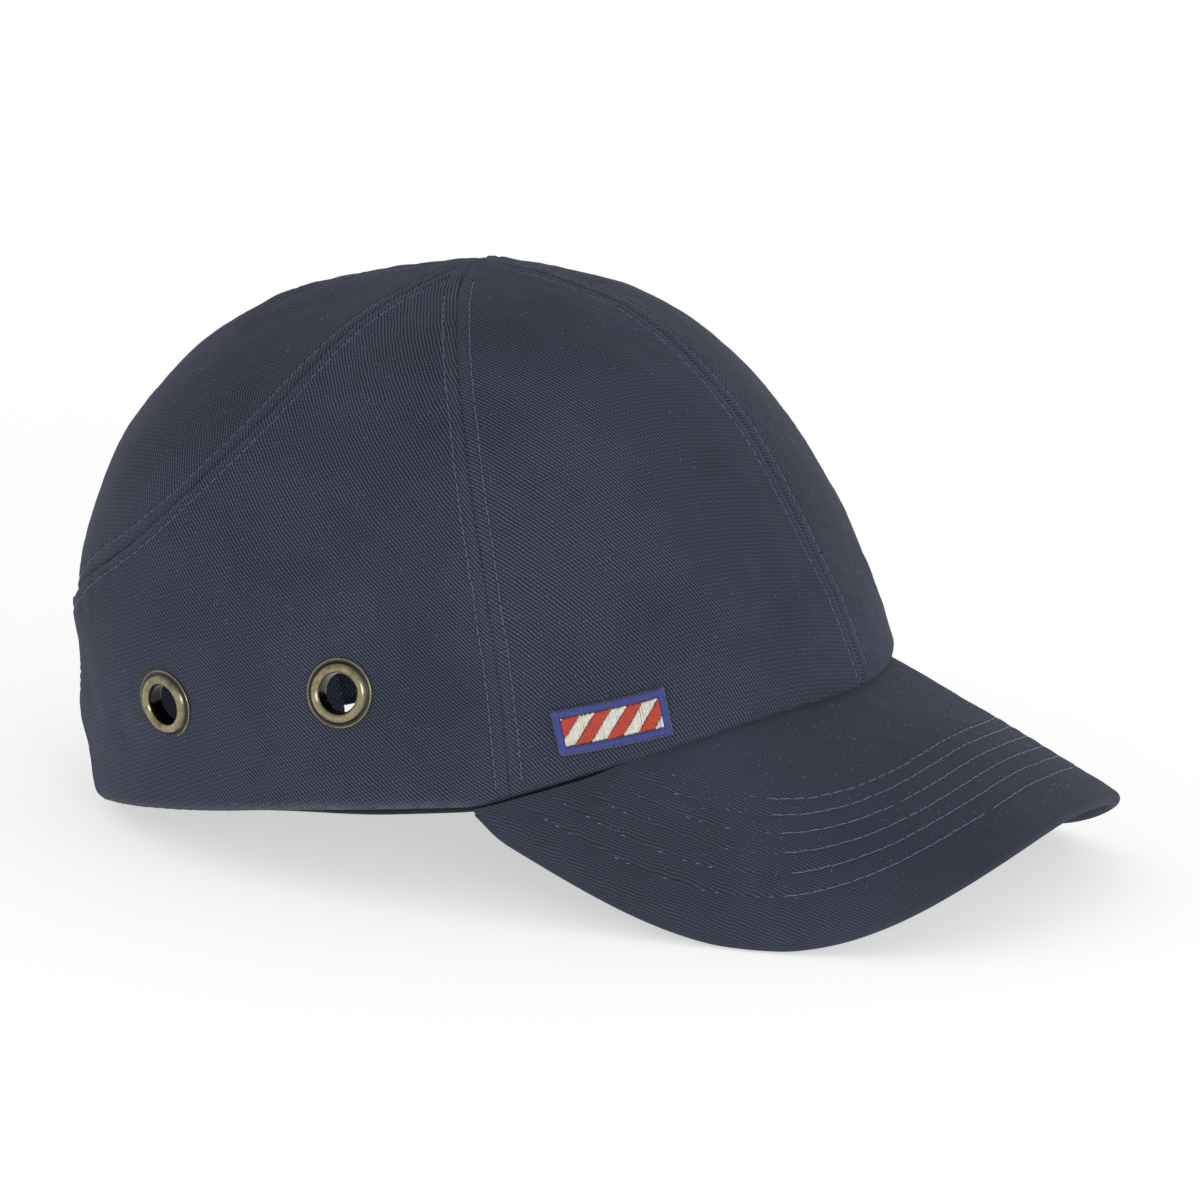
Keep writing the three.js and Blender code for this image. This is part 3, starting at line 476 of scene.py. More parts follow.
def twill(name, base, angle, pitch=0.8, depth=0.10, fuzz=0.5, soft=0.0, sheen=0.06):
    """Cotton twill: raised diagonals at an angle across the cloth, with fibre fuzz, fade and edge wear."""
    k = Nodes(name)
    uv = k.new("ShaderNodeUVMap").outputs[0]
    obj = k.new("ShaderNodeTexCoord").outputs["Object"]
    mm = k.new("ShaderNodeVectorMath", i0=uv, i1=(1000, 1000, 1000))
    mm.operation = "MULTIPLY"
    rot = k.new("ShaderNodeMapping", Vector=mm.outputs[0])
    rot.inputs["Rotation"].default_value = (0, 0, angle * D)
    xy = k.new("ShaderNodeSeparateXYZ", Vector=rot.outputs[0])
    wob = k.noise(mm.outputs[0], 0.16, 3)
    x = k.math("ADD", xy.outputs[0], k.math("MULTIPLY", wob, 1.1))
    y = xy.outputs[1]
    cyc = k.math("DIVIDE", x, pitch)
    ridge = k.math("MULTIPLY_ADD", k.math("SINE", k.math("MULTIPLY", cyc, 2 * math.pi)), 0.5, 0.5)
    step = k.math("MULTIPLY", k.math("FLOOR", cyc), 0.37)
    fl = k.math("MULTIPLY_ADD", k.math("SINE", k.math("MULTIPLY", k.math("ADD", k.math("DIVIDE", y, 1.25), step), 2 * math.pi)), 0.5, 0.5)
    yarn = k.math("MULTIPLY", ridge, k.math("MULTIPLY_ADD", fl, 0.45, 0.55))
    hair = k.noise(mm.outputs[0], 2.6, 5, 0.65)
    blot = k.noise(obj, 28, 3, 0.55)
    cloud = k.noise(obj, 9, 2, 0.5)
    wear_and_shade = k.new("ShaderNodeAttribute")
    wear_and_shade.attribute_name = "wear_and_shade"
    w = k.math("MULTIPLY", wear_and_shade.outputs["Fac"], k.math("MULTIPLY_ADD", k.noise(obj, 260, 4, 0.7), 1.8, -0.35, True), clamp=True)
    dark = tuple(c * 0.08 for c in base)
    light = tuple(min(1, c * 2.75) for c in base)
    grey = tuple(0.5 * c + 0.5 * sum(base) / 3 for c in light)
    flatmix = k.mix(soft, k.mix(yarn, rgb(dark), rgb(light)), rgb(base))
    c = k.mix(k.math("MULTIPLY", hair, fuzz * 0.35), flatmix, rgb(tuple(v * 1.9 for v in grey)))
    tone = k.math("MULTIPLY_ADD", blot, 0.62, 0.69)
    tone = k.math("MULTIPLY", tone, k.math("MULTIPLY_ADD", cloud, 0.5, 0.75))
    comb = k.new("ShaderNodeCombineColor", Red=tone, Green=tone, Blue=tone)
    c = k.mix(1.0, c, comb.outputs[0], "MULTIPLY")
    c = k.mix(w, c, rgb((base[0] * 4.6, base[1] * 4.0, base[2] * 2.9)))
    k.put(k.b, "Base Color", c)
    k.put(k.b, "Roughness", k.math("MULTIPLY_ADD", hair, 0.12, 0.84))
    k.b.inputs["Specular IOR Level"].default_value = 0.18
    k.b.inputs["Sheen Weight"].default_value = sheen
    k.b.inputs["Sheen Roughness"].default_value = 0.45
    k.b.inputs["Sheen Tint"].default_value = rgb((0.62, 0.68, 0.85))
    h = k.math("ADD", k.math("MULTIPLY", yarn, 1 - soft * 0.75), k.math("MULTIPLY", hair, 0.5))
    bump = k.new("ShaderNodeBump", Height=h, Strength=0.95, Distance=depth / 1000)
    k.put(k.b, "Normal", bump.outputs[0])
    return k.m


def plain_cloth(name, base, scale=1400, bump=0.5, sheen=0.2, spec=0.2, terry=False):
    """Fine cloth, tape, terry or foam skin: a small irregular surface with colour variation."""
    k = Nodes(name)
    obj = k.new("ShaderNodeTexCoord").outputs["Object"]
    v = k.new("ShaderNodeTexVoronoi", Vector=obj, Scale=scale)
    n = k.noise(obj, scale * 0.6, 4, 0.6)
    big = k.noise(obj, 30, 2)
    f = k.math("MULTIPLY_ADD", v.outputs["Distance"], -0.8, 1.0)
    mixf = k.math("MULTIPLY", f, n)
    c = k.mix(mixf, rgb(tuple(b * 0.6 for b in base)), rgb(tuple(min(1, b * 1.7) for b in base)))
    tone = k.math("MULTIPLY_ADD", big, 0.4, 0.8)
    comb = k.new("ShaderNodeCombineColor", Red=tone, Green=tone, Blue=tone)
    k.put(k.b, "Base Color", k.mix(1.0, c, comb.outputs[0], "MULTIPLY"))
    k.b.inputs["Roughness"].default_value = 0.9
    k.b.inputs["Specular IOR Level"].default_value = spec
    k.b.inputs["Sheen Weight"].default_value = sheen
    b = k.new("ShaderNodeBump", Height=mixf, Strength=bump, Distance=0.0004 if terry else 0.00015)
    k.put(k.b, "Normal", b.outputs[0])
    return k.m


def thread_mat(name, base, spec=0.4):
    k = Nodes(name)
    obj = k.new("ShaderNodeTexCoord").outputs["Object"]
    n = k.noise(obj, 900, 3)
    k.put(k.b, "Base Color", k.mix(n, rgb(tuple(b * 0.65 for b in base)), rgb(tuple(min(1, b * 1.45) for b in base))))
    k.b.inputs["Roughness"].default_value = 0.55
    k.b.inputs["Specular IOR Level"].default_value = spec
    k.b.inputs["Sheen Weight"].default_value = 0.3
    b = k.new("ShaderNodeBump", Height=k.noise(obj, 3500, 2), Strength=0.4, Distance=0.0001)
    k.put(k.b, "Normal", b.outputs[0])
    return k.m


def brass():
    k = Nodes("brass_with_painted_shade")
    obj = k.new("ShaderNodeTexCoord").outputs["Object"]
    n, n2 = k.noise(obj, 420, 4, 0.6), k.noise(obj, 3000, 3, 0.6)
    c = k.ramp(n, [(0.28, (0.15, 0.132, 0.075)), (0.5, (0.28, 0.25, 0.15)), (0.75, (0.38, 0.345, 0.215))])
    # painted reflection and painted shade: the marked groove, barrel and underside are mixed to near black
    painted_shade = k.new("ShaderNodeAttribute")
    painted_shade.attribute_name = "wear_and_shade"
    k.put(k.b, "Base Color", k.mix(painted_shade.outputs["Fac"], c, rgb((0.042, 0.044, 0.042))))
    k.b.inputs["Metallic"].default_value = 1.0
    k.put(k.b, "Roughness", k.math("MULTIPLY_ADD", n2, 0.20, 0.15))
    b = k.new("ShaderNodeBump", Height=n2, Strength=0.15, Distance=0.00008)
    k.put(k.b, "Normal", b.outputs[0])
    return k.m


def plastic(name, base, rough, scale=900):
    k = Nodes(name)
    obj = k.new("ShaderNodeTexCoord").outputs["Object"]
    n, big = k.noise(obj, scale, 3), k.noise(obj, 40, 2)
    k.put(k.b, "Base Color", k.mix(big, rgb(tuple(b * 0.8 for b in base)), rgb(tuple(b * 1.3 for b in base))))
    k.put(k.b, "Roughness", k.math("MULTIPLY_ADD", n, 0.2, rough))
    b = k.new("ShaderNodeBump", Height=n, Strength=0.3, Distance=0.0001)
    k.put(k.b, "Normal", b.outputs[0])
    return k.m


NAVY = (0.0272, 0.0328, 0.0520)
M_THREAD = thread_mat("navy_thread", (0.075, 0.105, 0.200))
M_TAPE = plain_cloth("bias_tape", (0.022, 0.026, 0.040), 1800, sheen=0.06)
M_TERRY = plain_cloth("terry", (0.012, 0.014, 0.021), 1500, 0.9, 0.05, terry=True)
M_FOAM = plain_cloth("foam", (0.022, 0.023, 0.026), 2200, 0.6, 0.06)
M_STRAP = plain_cloth("strap_webbing", (0.036, 0.042, 0.064), 1700, 0.7)
M_LOOP = plain_cloth("loop_pile", (0.016, 0.018, 0.024), 1300, 1.0, 0.15, terry=True)
M_HOOK = plastic("hook_plastic", (0.020, 0.021, 0.025), 0.4, 2600)
M_LABEL = plain_cloth("label_satin", (0.60, 0.60, 0.58), 3000, 0.25)
M_BRASS = brass()
M_SHELL = plastic("shell_abs", (0.020, 0.021, 0.023), 0.35)
M_BOARD = plastic("board_plastic", (0.03, 0.03, 0.033), 0.5)
M_WHITE = thread_mat("badge_white", (0.62, 0.61, 0.54))
M_RED = thread_mat("badge_red", (0.46, 0.035, 0.016))
M_BLUE = thread_mat("badge_blue", (0.032, 0.046, 0.23))
M_DARK = thread_mat("badge_navy", (0.006, 0.007, 0.014))


def give(o, mat, body, replaces=()):
    o.data.materials.clear()
    o.data.materials.append(mat)
    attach(o, body)
    if replaces:
        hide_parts(*replaces)
    return o


# -------------------------------------------------------------------- seams
TOP_R = 0.12
PEAK_LIFT = -0.45
side_all, rear_all = spline(SIDE_SEAM, 300), spline(REAR_SEAM, 320)


def cut_at_hem(line, lift):
    rr = np.hypot(line[:, 0], line[:, 1])
    th = np.arctan2(line[:, 1], line[:, 0])
    over = (rr > 30) & (rr > hem_r(th, lift))
    i = int(np.argmax(over))
    t = th[i - 1]
    r = float(hem_r(t, lift))
    return np.vstack([line[:i], [[r * math.cos(t), r * math.sin(t)]]])


def from_top(line):
    rr = np.hypot(line[:, 0], line[:, 1])
    i = int(np.argmax(rr >= TOP_R))
    return np.vstack([line[i] * TOP_R / rr[i], line[i + 1:]])


side_seam = from_top(cut_at_hem(side_all, PEAK_LIFT))
rear_seam = from_top(rear_all)
corner_i = int(np.argmin(np.hypot(*(rear_seam - REAR_SEAM[REAR_CORNER]).T)))
foot_deg = math.atan2(side_seam[-1][1], side_seam[-1][0]) / D


def arc(r, a0, a1, n):
    t = np.linspace(a0, a1, n) * D
    return np.stack([r * np.cos(t), r * np.sin(t)], -1)


def hem_arc(a0, a1, n, lift=0.0, warp=None):
    t = np.linspace(0, 1, n)
    t = (a0 + (a1 - a0) * (t if warp is None else warp(t))) * D
    r = hem_r(t, lift)
    return np.stack([r * np.cos(t), r * np.sin(t)], -1)


def arch_line(n, grow=0.0):
    a = np.linspace(0, 1, n) * 90 * D
    return above_hem(180 - (GAP_HALF + grow / 1.7) * np.cos(a), (ARCH_H + grow) * np.sin(a) ** 0.9)


R_BACK = float(np.hypot(*REAR_SEAM[-1]))
arch_top = arch_line(2)[1]
LIFT_R = PEAK_LIFT

# seam routes as points in space, on the wearer's right
SEAM_F = on(np.stack([np.linspace(0.1, float(hem_r(0.0, LIFT_R)), 260), np.zeros(260)], -1))
SEAM_S = on(side_seam)
SEAM_R = on(rear_seam)
SEAM_B = on(np.stack([-np.linspace(0.1, float(np.hypot(*arch_top)), 260), np.zeros(260)], -1))
HEM_L = on(hem_arc(0, 180 - GAP_HALF, 300, LIFT_R))
ARCH_L = on(arch_line(80))
EYE_C = on(np.array(EYELETS))


def relief(P, part, mirror):
    """Height of the cloth above the nominal surface, and how worn it is, for points of one panel."""
    S = flip(P) if mirror else P
    dF, aF = near(P, SEAM_F)
    dS, aS = near(P, SEAM_S)
    dR, aR = near(P, SEAM_R)
    dB, aB = near(P, SEAM_B)
    dH, aH = near(P, HEM_L)
    dA, aA = near(P, ARCH_L)
    rtop = np.hypot(P[..., 0] - SEAM_F[0, 0], P[..., 1])
    top = smooth(rtop, 2.0, 14.0)
    h = np.zeros(P.shape[:-1])
    wear_and_shade = np.zeros(P.shape[:-1])
    off = {"front": 0.0, "side": 2.1, "rear": 4.4}[part] + (9.0 if mirror else 0.0)

    def flat_seam(d, a, lam, key):
        puck = np.sin(2 * np.pi * a / lam + 2.2 * np.sin(a / 17 + key) + key)
        roll = 0.09 * g(d, 1.7, 1.1) * (1 + 0.4 * puck)
        return (-0.34 * np.exp(-(d / 0.32) ** 1.4) + roll - 0.12 * g(d, 3.35, 0.45)
                + 0.05 * g(d, 5.2, 1.6) * (1 + puck) + 0.07 * puck * g(d, 3.2, 3.4))

    lines = {"front": [(dF, aF, 8.3, 0.4), (dS, aS, 7.1, 1.9)],
             "side": [(dS, aS, 7.1, 2.6)],
             "rear": [(dB, aB, 8.8, 3.3)]}[part]
    for d, a, lam, key in lines:
        h = h + flat_seam(d, a, lam, key + off)
        wear_and_shade = np.maximum(wear_and_shade, 0.10 * g(d, 1.5, 1.1))
    if part == "side":
        back = smooth(rtop, 60, 100) * (P[..., 0] < 0)
        h = h + flat_seam(dB, aB, 8.8, 3.7 + off) * back
        # the side panel's turned edge stands proud along the rear seam
        k = smooth(aR, 2, 20)
        puck = np.sin(2 * np.pi * aR / 9.3 + 2.0 * np.sin(aR / 23 + off))
        ridge = (0.78 * smooth(dR, 0.05, 1.0) * (1 - smooth(dR, 2.6, 11.5))) * (1 + 0.10 * puck)
        h = h + k * (ridge - 0.30 * g(dR, 3.6, 0.55) - 0.6 * np.exp(-(dR / 0.40) ** 1.3)) + 0.09 * puck * g(dR, 5, 4)
        wear_and_shade = np.maximum(wear_and_shade, 0.14 * g(dR, 1.2, 0.9) * k)
    if part == "rear":
        k = smooth(aR, 2, 20)
        puck = np.sin(2 * np.pi * aR / 8.1 + 1.7 * np.sin(aR / 19 + off))
        h = h + k * (-0.5 * np.exp(-(dR / 1.0) ** 1.6) + 0.14 * g(dR, 2.4, 1.0) - 0.26 * g(dR, 3.9, 0.55)) + 0.12 * puck * g(dR, 4.4, 3.6)
        wear_and_shade = np.maximum(wear_and_shade, 0.10 * g(dR, 2.2, 1.2) * k)
    # folds and small wrinkles of the loose cloth
    free = smooth(np.minimum(np.minimum(dS if part != "rear" else dR, dH), 60), 1.5, 16)
    amp = {"front": 0.22, "side": 0.30, "rear": 0.42}[part]
    soft = amp * folds(S) + 0.16 * wrinkle(S) * (0.6 + 0.4 * folds(S * 0.7 + 40)) + 0.035 * fine(S)
    for c in EYE_C:
        de = np.linalg.norm(P - c, axis=-1)
        e = smooth(de, 7.5, 20)
        soft = soft * (0.15 + 0.85 * e) - 0.18 * (1 - smooth(de, 8.4, 10.6)) * (part == "side") - 0.10 * g(de, 10.5, 1.6)
    h = h + soft * free * top
    # hem
    if part == "front":
        h = h + 0.75 * g(dH, 3.6, 3.2) + 1.9 * g(dH, 9, 16) * (1 - smooth(np.abs(np.arctan2(P[..., 1], P[..., 0])) / D, 32, 48)) - 0.9 * np.exp(-(dH / 0.7) ** 1.5) + 0.10 * np.sin(aH / 1.9 + 2 * np.sin(aH / 11)) * g(dH, 2, 3)
        wear_and_shade = np.maximum(wear_and_shade, 0.15 * g(dH, 1.2, 1.0))
    if part == "side":
        th = np.abs(np.arctan2(P[..., 1], P[..., 0])) / D
        over = 1 - smooth(th, 62, 72)
        h = h + (0.4 * g(dH, 3.0, 2.4) - 0.7 * np.exp(-(dH / 0.8) ** 1.5)) * over
        h = h + (1 - over) * (0.12 * g(dH, 2.2, 1.4) - 0.75 * np.exp(-(dH / 0.8) ** 1.5) - 1.3 * np.exp(-(dH / 2.4) ** 1.6) * smooth(th, 112, 135) + 2.5 * np.exp(-(dH / 34) ** 1.4) * smooth(th, 108, 138) + 0.07 * np.sin(aH / 2.3 + 2 * np.sin(aH / 13)) * g(dH, 2, 3))
        wear_and_shade = np.maximum(wear_and_shade, 0.85 * np.exp(-(dH / 1.15) ** 1.4) * (1 - over) * (0.45 + 0.55 * g(aH, 150, 45)))
        h = h + 0.2 * g(dA, 1.5, 1.3) - 0.5 * np.exp(-(dA / 0.5) ** 1.5)
        wear_and_shade = np.maximum(wear_and_shade, 0.5 * np.exp(-(dA / 1.0) ** 1.4))
    return h * (0.25 + 0.75 * top), wear_and_shade


def frame_of(P):
    """Straight cloth grain over a curved panel: distances from its middle, along two directions."""
    c = P.reshape(-1, 3)[len(P.reshape(-1, 3)) // 2]
    n = unit(np.cross(P[-1, P.shape[1] // 2] - P[0, P.shape[1] // 2], P[P.shape[0] // 2, -1] - P[P.shape[0] // 2, 0]))
    up = unit(np.array([0, 0, 1.0]) - n * n[2])
    across = np.cross(up, n)
    v = P - P[P.shape[0] // 2, P.shape[1] // 2]
    a = np.stack([v @ across, v @ up], -1)
    r = np.linalg.norm(a, axis=-1, keepdims=True)
    return a / np.maximum(r, 1e-6) * np.linalg.norm(v, axis=-1)[..., None]


CUTS = {}


def build_panel(part, side):
    if part not in CUTS:
        if part == "front":
            ni, nj, wu, wv = 132, 172, ends(0.42), late(0.5)
            u, v = wu(np.linspace(0, 1, ni)), wv(np.linspace(0, 1, nj))
            grid = coons(resample([[TOP_R, 0], [float(hem_r(0.0, LIFT_R)), 0]], nj, wv), resample(side_seam, nj, wv),
                         at_len(arc(TOP_R, 0, math.atan2(side_seam[0][1], side_seam[0][0]) / D, 40), np.array(u) * line_len(arc(TOP_R, 0, math.atan2(side_seam[0][1], side_seam[0][0]) / D, 40))[-1]),
                         hem_arc(0, foot_deg, ni, LIFT_R, wu), u, v)
        elif part == "side":
            ni, nj, wu, wv = 236, 150, ends(0.5), ends(0.42)
            u, v = wu(np.linspace(0, 1, ni)), wv(np.linspace(0, 1, nj))
            bottom = np.vstack([hem_arc(foot_deg, 180 - GAP_HALF, 260, LIFT_R), arch_line(90)[1:]])
            bottom = resample(bottom, ni, wu)
            top = np.vstack([side_seam[:1], rear_seam[4:]])
            grid = coons(resample(side_seam, nj, wv), resample([[-R_BACK, 0], arch_top], nj, wv),
                         resample(top, ni, wu), bottom, u, v)
        else:
            ni, nj, wu, wv = 130, 130, ends(0.5), ends(0.5)
            u, v = wu(np.linspace(0, 1, ni)), wv(np.linspace(0, 1, nj))
            t0 = arc(TOP_R, math.atan2(rear_seam[0][1], rear_seam[0][0]) / D, 180, 60)
            grid = coons(resample(rear_seam[:corner_i + 1], nj, wv), resample([[-TOP_R, 0], [-R_BACK, 0]], nj, wv),
                         resample(t0, ni, wu), resample(rear_seam[corner_i:], ni, wu), u, v)
        CUTS[part] = (grid, on(grid), normal(grid))
    grid, P, Nrm = CUTS[part]
    mirror = side == "left"
    h, wear_and_shade = relief(P, part, mirror)
    A = P + Nrm * h[..., None]
    B = P - Nrm * (FABRIC - np.clip(h, -0.8, 1.7) * 0.8)[..., None]
    uv = frame_of(P)
    keep = None
    if part == "side":
        mid = (P[:-1, :-1] + P[1:, 1:]) / 2
        keep = np.ones(mid.shape[:2], bool)
        for c in EYE_C:
            keep &= np.linalg.norm(mid - c, axis=-1) > 6.4
    if mirror:
        A, B, uv = flip(A), flip(B), uv * [-1, 1]
    A, B = place(A) * 1000, place(B) * 1000
    if part == "side":
        # the loose hem behind the peak sags a little, down to the table at most
        sag = 1.1 * np.exp(-(near(P, HEM_L)[0] / 6) ** 1.5) * smooth(np.abs(np.arctan2(P[..., 1], P[..., 0])) / D, 96, 125)
        for Q in (A, B):
            Q[..., 2] = np.where(sag > 0, np.maximum(Q[..., 2] - sag, np.minimum(Q[..., 2], 0.2)), Q[..., 2])
    o = slab(f"cloth_{part}_{side}", A, B, uv, wear_and_shade, keep, bulge=0.25)
    ang = {"front": -36, "side": -47, "rear": -42}[part]
    give(o, twill(f"twill_{part}_{side}", NAVY, ang), "cover", [f"{part}_panel_{side}"])
    return o


for side in ("right", "left"):
    for part in ("front", "side", "rear"):
        build_panel(part, side)


# -------------------------------------------------------------------- stitches
def stitch_row(line3, normals, pitch, gap, r, sink=0.0, jitter=0.14, skip=0.0, seed=1):
    """Stitches along a line in space, as short threads that dip at both ends."""
    r8 = np.random.default_rng(seed)
    L = line_len(line3)
    out, s = [], r8.uniform(0, pitch)
    while s + pitch < L[-1]:
        ln = pitch - gap + r8.normal(0, 0.05)
        if r8.uniform() >= skip:
            t = np.linspace(s, s + ln, 6)
            P, N = at_len(line3, t), unit(at_len_n(normals, L, t))
            side = np.cross(unit(P[-1] - P[0]), N[2])
            dip = np.array([-0.15, 0.03, 0.07, 0.07, 0.03, -0.15])
            P = P + N * (dip + r * 0.5 - sink)[:, None] + side * (r8.normal(0, jitter) * 0.4 + r8.normal(0, jitter * 0.35) * np.linspace(-1, 1, 6)[:, None])
            out.append((P, N))
        s += pitch + r8.normal(0, 0.06)
    return out


def at_len_n(N, L, t):
    return np.stack([np.interp(t, L, N[:, k]) for k in range(3)], -1)


def seam_offset(line, w, n=400):
    """A line on the crown, a distance w to one side of a seam."""
    q = resample(line, n)
    P, N = on(q), normal(q)
    T = unit(np.gradient(P, axis=0))
    S = unit(np.cross(N, T))
    Q = P + S * w
    ep = np.arcsin((Q[:, 2] - CROWN_Z) / np.linalg.norm(Q - [0, 0, CROWN_Z], axis=1))
    th = np.arctan2(Q[:, 1], Q[:, 0])
    r = 90 - ep / D
    return np.stack([r * np.cos(th), r * np.sin(th)], -1)


def crown_row(name, line, w, part, side, clip_top=7.0, pitch=2.8, stop=None, seed=1):
    mirror = side == "left"
    q = seam_offset(line, w)
    q = q[np.hypot(q[:, 0], q[:, 1]) > clip_top]
    if stop is not None:
        q = q[stop(q)]
    P, N = on(q), normal(q)
    h, _ = relief(P, part, mirror)
    # follow the cloth, smoothed over one stitch
    h = np.convolve(np.pad(h, 4, mode="edge"), np.ones(9) / 9, "valid")
    P = P + N * h[:, None]
    if mirror:
        P, N = flip(P), flip(N)
    return stitch_row(place(P) * 1000, turn(N), pitch, 0.25, 0.11, seed=seed)


def thread_mesh(name, rows, mat=None, body="cover", r=0.115):
    o = tubes(name, [(P / 1000, N) for P, N in rows], r / 1000)
    give(o, mat or M_THREAD, body)
    return o


def above(q, h):
    th = np.arctan2(q[:, 1], q[:, 0])
    ep = (90 - np.hypot(q[:, 0], q[:, 1])) * D
    return crown(th, ep)[:, 2] > crown(th, hem_e(th, 0.0))[:, 2] + h


front_line = np.stack([np.linspace(0.1, float(hem_r(0.0, LIFT_R)), 300), np.zeros(300)], -1)
back_line = np.stack([-np.linspace(0.1, float(np.hypot(*arch_top)), 300), np.zeros(300)], -1)
n_rows = 0
for side in ("right", "left"):
    rows = []
    k = 100 if side == "left" else 0
    # the seams run down from the top, so +w lies to one side and -w to the other
    w_test = seam_offset(front_line, 3.35)
    sgn = 1 if w_test[200, 1] > 0 else -1
    rows += crown_row("f", front_line, sgn * 3.35, "front", side, 5, stop=lambda q: above(q, 1.2), seed=11 + k)
    ws = seam_offset(side_seam, 3.35)
    sgn = 1 if ws[200, 0] > resample(side_seam, 400)[200, 0] else -1
    rows += crown_row("s", side_seam, sgn * 3.35, "front", side, 9, stop=lambda q: above(q, 1.2), seed=12 + k)
    rows += crown_row("s", side_seam, -sgn * 3.35, "side", side, 13, stop=lambda q: above(q, 1.0), seed=13 + k)
    wr = seam_offset(rear_seam, 3.6)
    sgn = 1 if np.hypot(*wr[200]) > np.hypot(*resample(rear_seam, 400)[200]) else -1
    rows += crown_row("r", rear_seam, sgn * 3.6, "side", side, 12, seed=14 + k)
    rows += crown_row("r", rear_seam, -sgn * 3.9, "rear", side, 16, seed=15 + k)
    wb = seam_offset(back_line, 3.35)
    sgn = 1 if wb[200, 1] > 0 else -1
    rows += crown_row("b", back_line, sgn * 3.35, "rear", side, 10, stop=lambda q: np.hypot(q[:, 0], q[:, 1]) < R_BACK - 1, seed=16 + k)
    rows += crown_row("b", back_line, sgn * 3.35, "side", side, 10, stop=lambda q: np.hypot(q[:, 0], q[:, 1]) > R_BACK + 3, seed=17 + k)
    # arch edge
    al = arch_line(120, 4.2)
    al = al[above(al, 3.0)]
    Pa, Na = on(al), normal(al)
    ha, _ = relief(Pa, "side", side == "left")
    Pa = Pa + Na * ha[:, None]
    if side == "left":
        Pa, Na = flip(Pa), flip(Na)
    rows += stitch_row(place(Pa) * 1000, turn(Na), 2.8, 0.45, 0.17, seed=18 + k)
    thread_mesh(f"crown_stitching_{side}", rows)



# loose fibres lying on the cloth, and fuzz along the worn hem
def fibres(name, P, N, length, r, colour, seed):
    """P and N in the cap's own axes; each fibre is a short curved hair."""
    r9 = np.random.default_rng(seed)
    paths = []
    for p, n in zip(P, N):
        a = unit(np.cross(n, r9.normal(size=3)))
        c = np.cross(n, a)
        ln = length * r9.uniform(0.35, 1.2)
        t = np.linspace(-0.5, 0.5, 6)[:, None]
        bend = r9.normal(0, 0.35)
        q = p + a * t * ln + c * bend * ln * t ** 2 * 2 + n * (0.10 + 0.25 * r9.uniform() * (t + 0.5))
        paths.append((place(q), turn(np.tile(n, (6, 1)))))
    o = tubes(name, paths, r / 1000, 4, 1.0)
    return give(o, colour, "cover")


M_LINT = thread_mat("lint", (0.19, 0.24, 0.30), 0.2)
r9 = np.random.default_rng(77)
qx = r9.uniform(-95, 95, (3400, 2))
tt = np.arctan2(qx[:, 1], qx[:, 0])
rad = np.hypot(qx[:, 0], qx[:, 1])
dens = 0.35 + 0.65 * (folds(on(qx)) > 0.1) + 0.8 * ((qx[:, 0] < 0) & (rad < 60))
ok = (rad > 4) & (rad < hem_r(tt) - 2) & (r9.uniform(size=len(qx)) < dens * 0.75) & ~((np.abs(tt) > 150 * D) & (rad > 60))
for c in EYE_C:
    ok &= np.linalg.norm(on(qx) - c, axis=-1) > 10
    ok &= np.linalg.norm(flip(on(qx)) - c, axis=-1) > 10
qx = qx[ok]
Px, Nx = on(qx), normal(qx)
hx = np.zeros(len(qx))
for sd in (False, True):
    for nm in ("front", "side", "rear"):
        side_q = qx * ([1, -1] if sd else [1, 1])
        here = (qx[:, 1] < 0) == sd
        a_q = np.arctan2(side_q[:, 1], side_q[:, 0]) / D
        r_q = np.hypot(*side_q.T)
        fr_a = np.interp(r_q, np.hypot(*side_seam.T), np.degrees(np.arctan2(side_seam[:, 1], side_seam[:, 0])))
        rear_r = np.interp(a_q, np.degrees(np.arctan2(rear_seam[60:, 1], rear_seam[60:, 0])), np.hypot(*rear_seam[60:].T))
        kind = np.where(a_q < fr_a, "front", np.where((a_q > 112) & (r_q < rear_r), "rear", "side"))
        m = here & (kind == nm)
        if m.any():
            Pm = flip(Px[m]) if sd else Px[m]
            hx[m] = relief(Pm, nm, sd)[0]
fibres("lint_crown", Px + Nx * hx[:, None], Nx, 0.85, 0.03, M_LINT, 5)
hd = np.concatenate([r9.normal(118, 10, 420), r9.uniform(92, 150, 160)])
hq = above_hem(hd, r9.uniform(-0.1, 1.4, len(hd)))
Ph, Nh = on(hq), normal(hq)
M_FUZZ = thread_mat("hem_fuzz", (0.17, 0.18, 0.16), 0.2)
fibres("hem_fuzz_right", Ph + Nh * (relief(Ph, "side", False)[0] - 0.02)[:, None], Nh, 0.8, 0.03, M_FUZZ, 6)

# -------------------------------------------------------------------- peak
ROW_LEN = [86.65, 90.46, 94.74, 99.14, 103.45, 108.15]


def outline(be, tip=0.0, edge=None):
    edge = tip if edge is None else edge
    c, s = np.cos(be), np.sin(be)
    n = PK["n"] + 0.02 * (be < 0)
    f = PK["f0"] + (PK["len"] - tip) * np.abs(c) ** (2 / n)
    return f, (PK["half"] - edge) * np.abs(s) ** (2 / n) * np.sign(s)


def peak_rows():
    out = []
    for i, ln in enumerate(ROW_LEN):
        half, n = 63.5 + 14.6 * i / 5, 3.33 - 0.35 * i / 5
        be = np.linspace(-90, 90, 900) * D
        f = 38.18 + ln * np.abs(np.cos(be)) ** (2 / n)
        s = half * np.abs(np.sin(be)) ** (2 / n) * np.sign(np.sin(be))
        th = np.arctan2(s, f)
        r = hem_r(th)
        h = crown(th, (90 - r) * D)
        ok = (np.hypot(f, s) > np.hypot(h[:, 0], h[:, 1]) + 0.8) & (np.abs(th) < (PEAK_END - 1.5) * D)
        f, s = f[ok], s[ok]
        out.append(np.stack([f, s, peak_z(f, s)], -1))
    return out


PROWS = peak_rows()


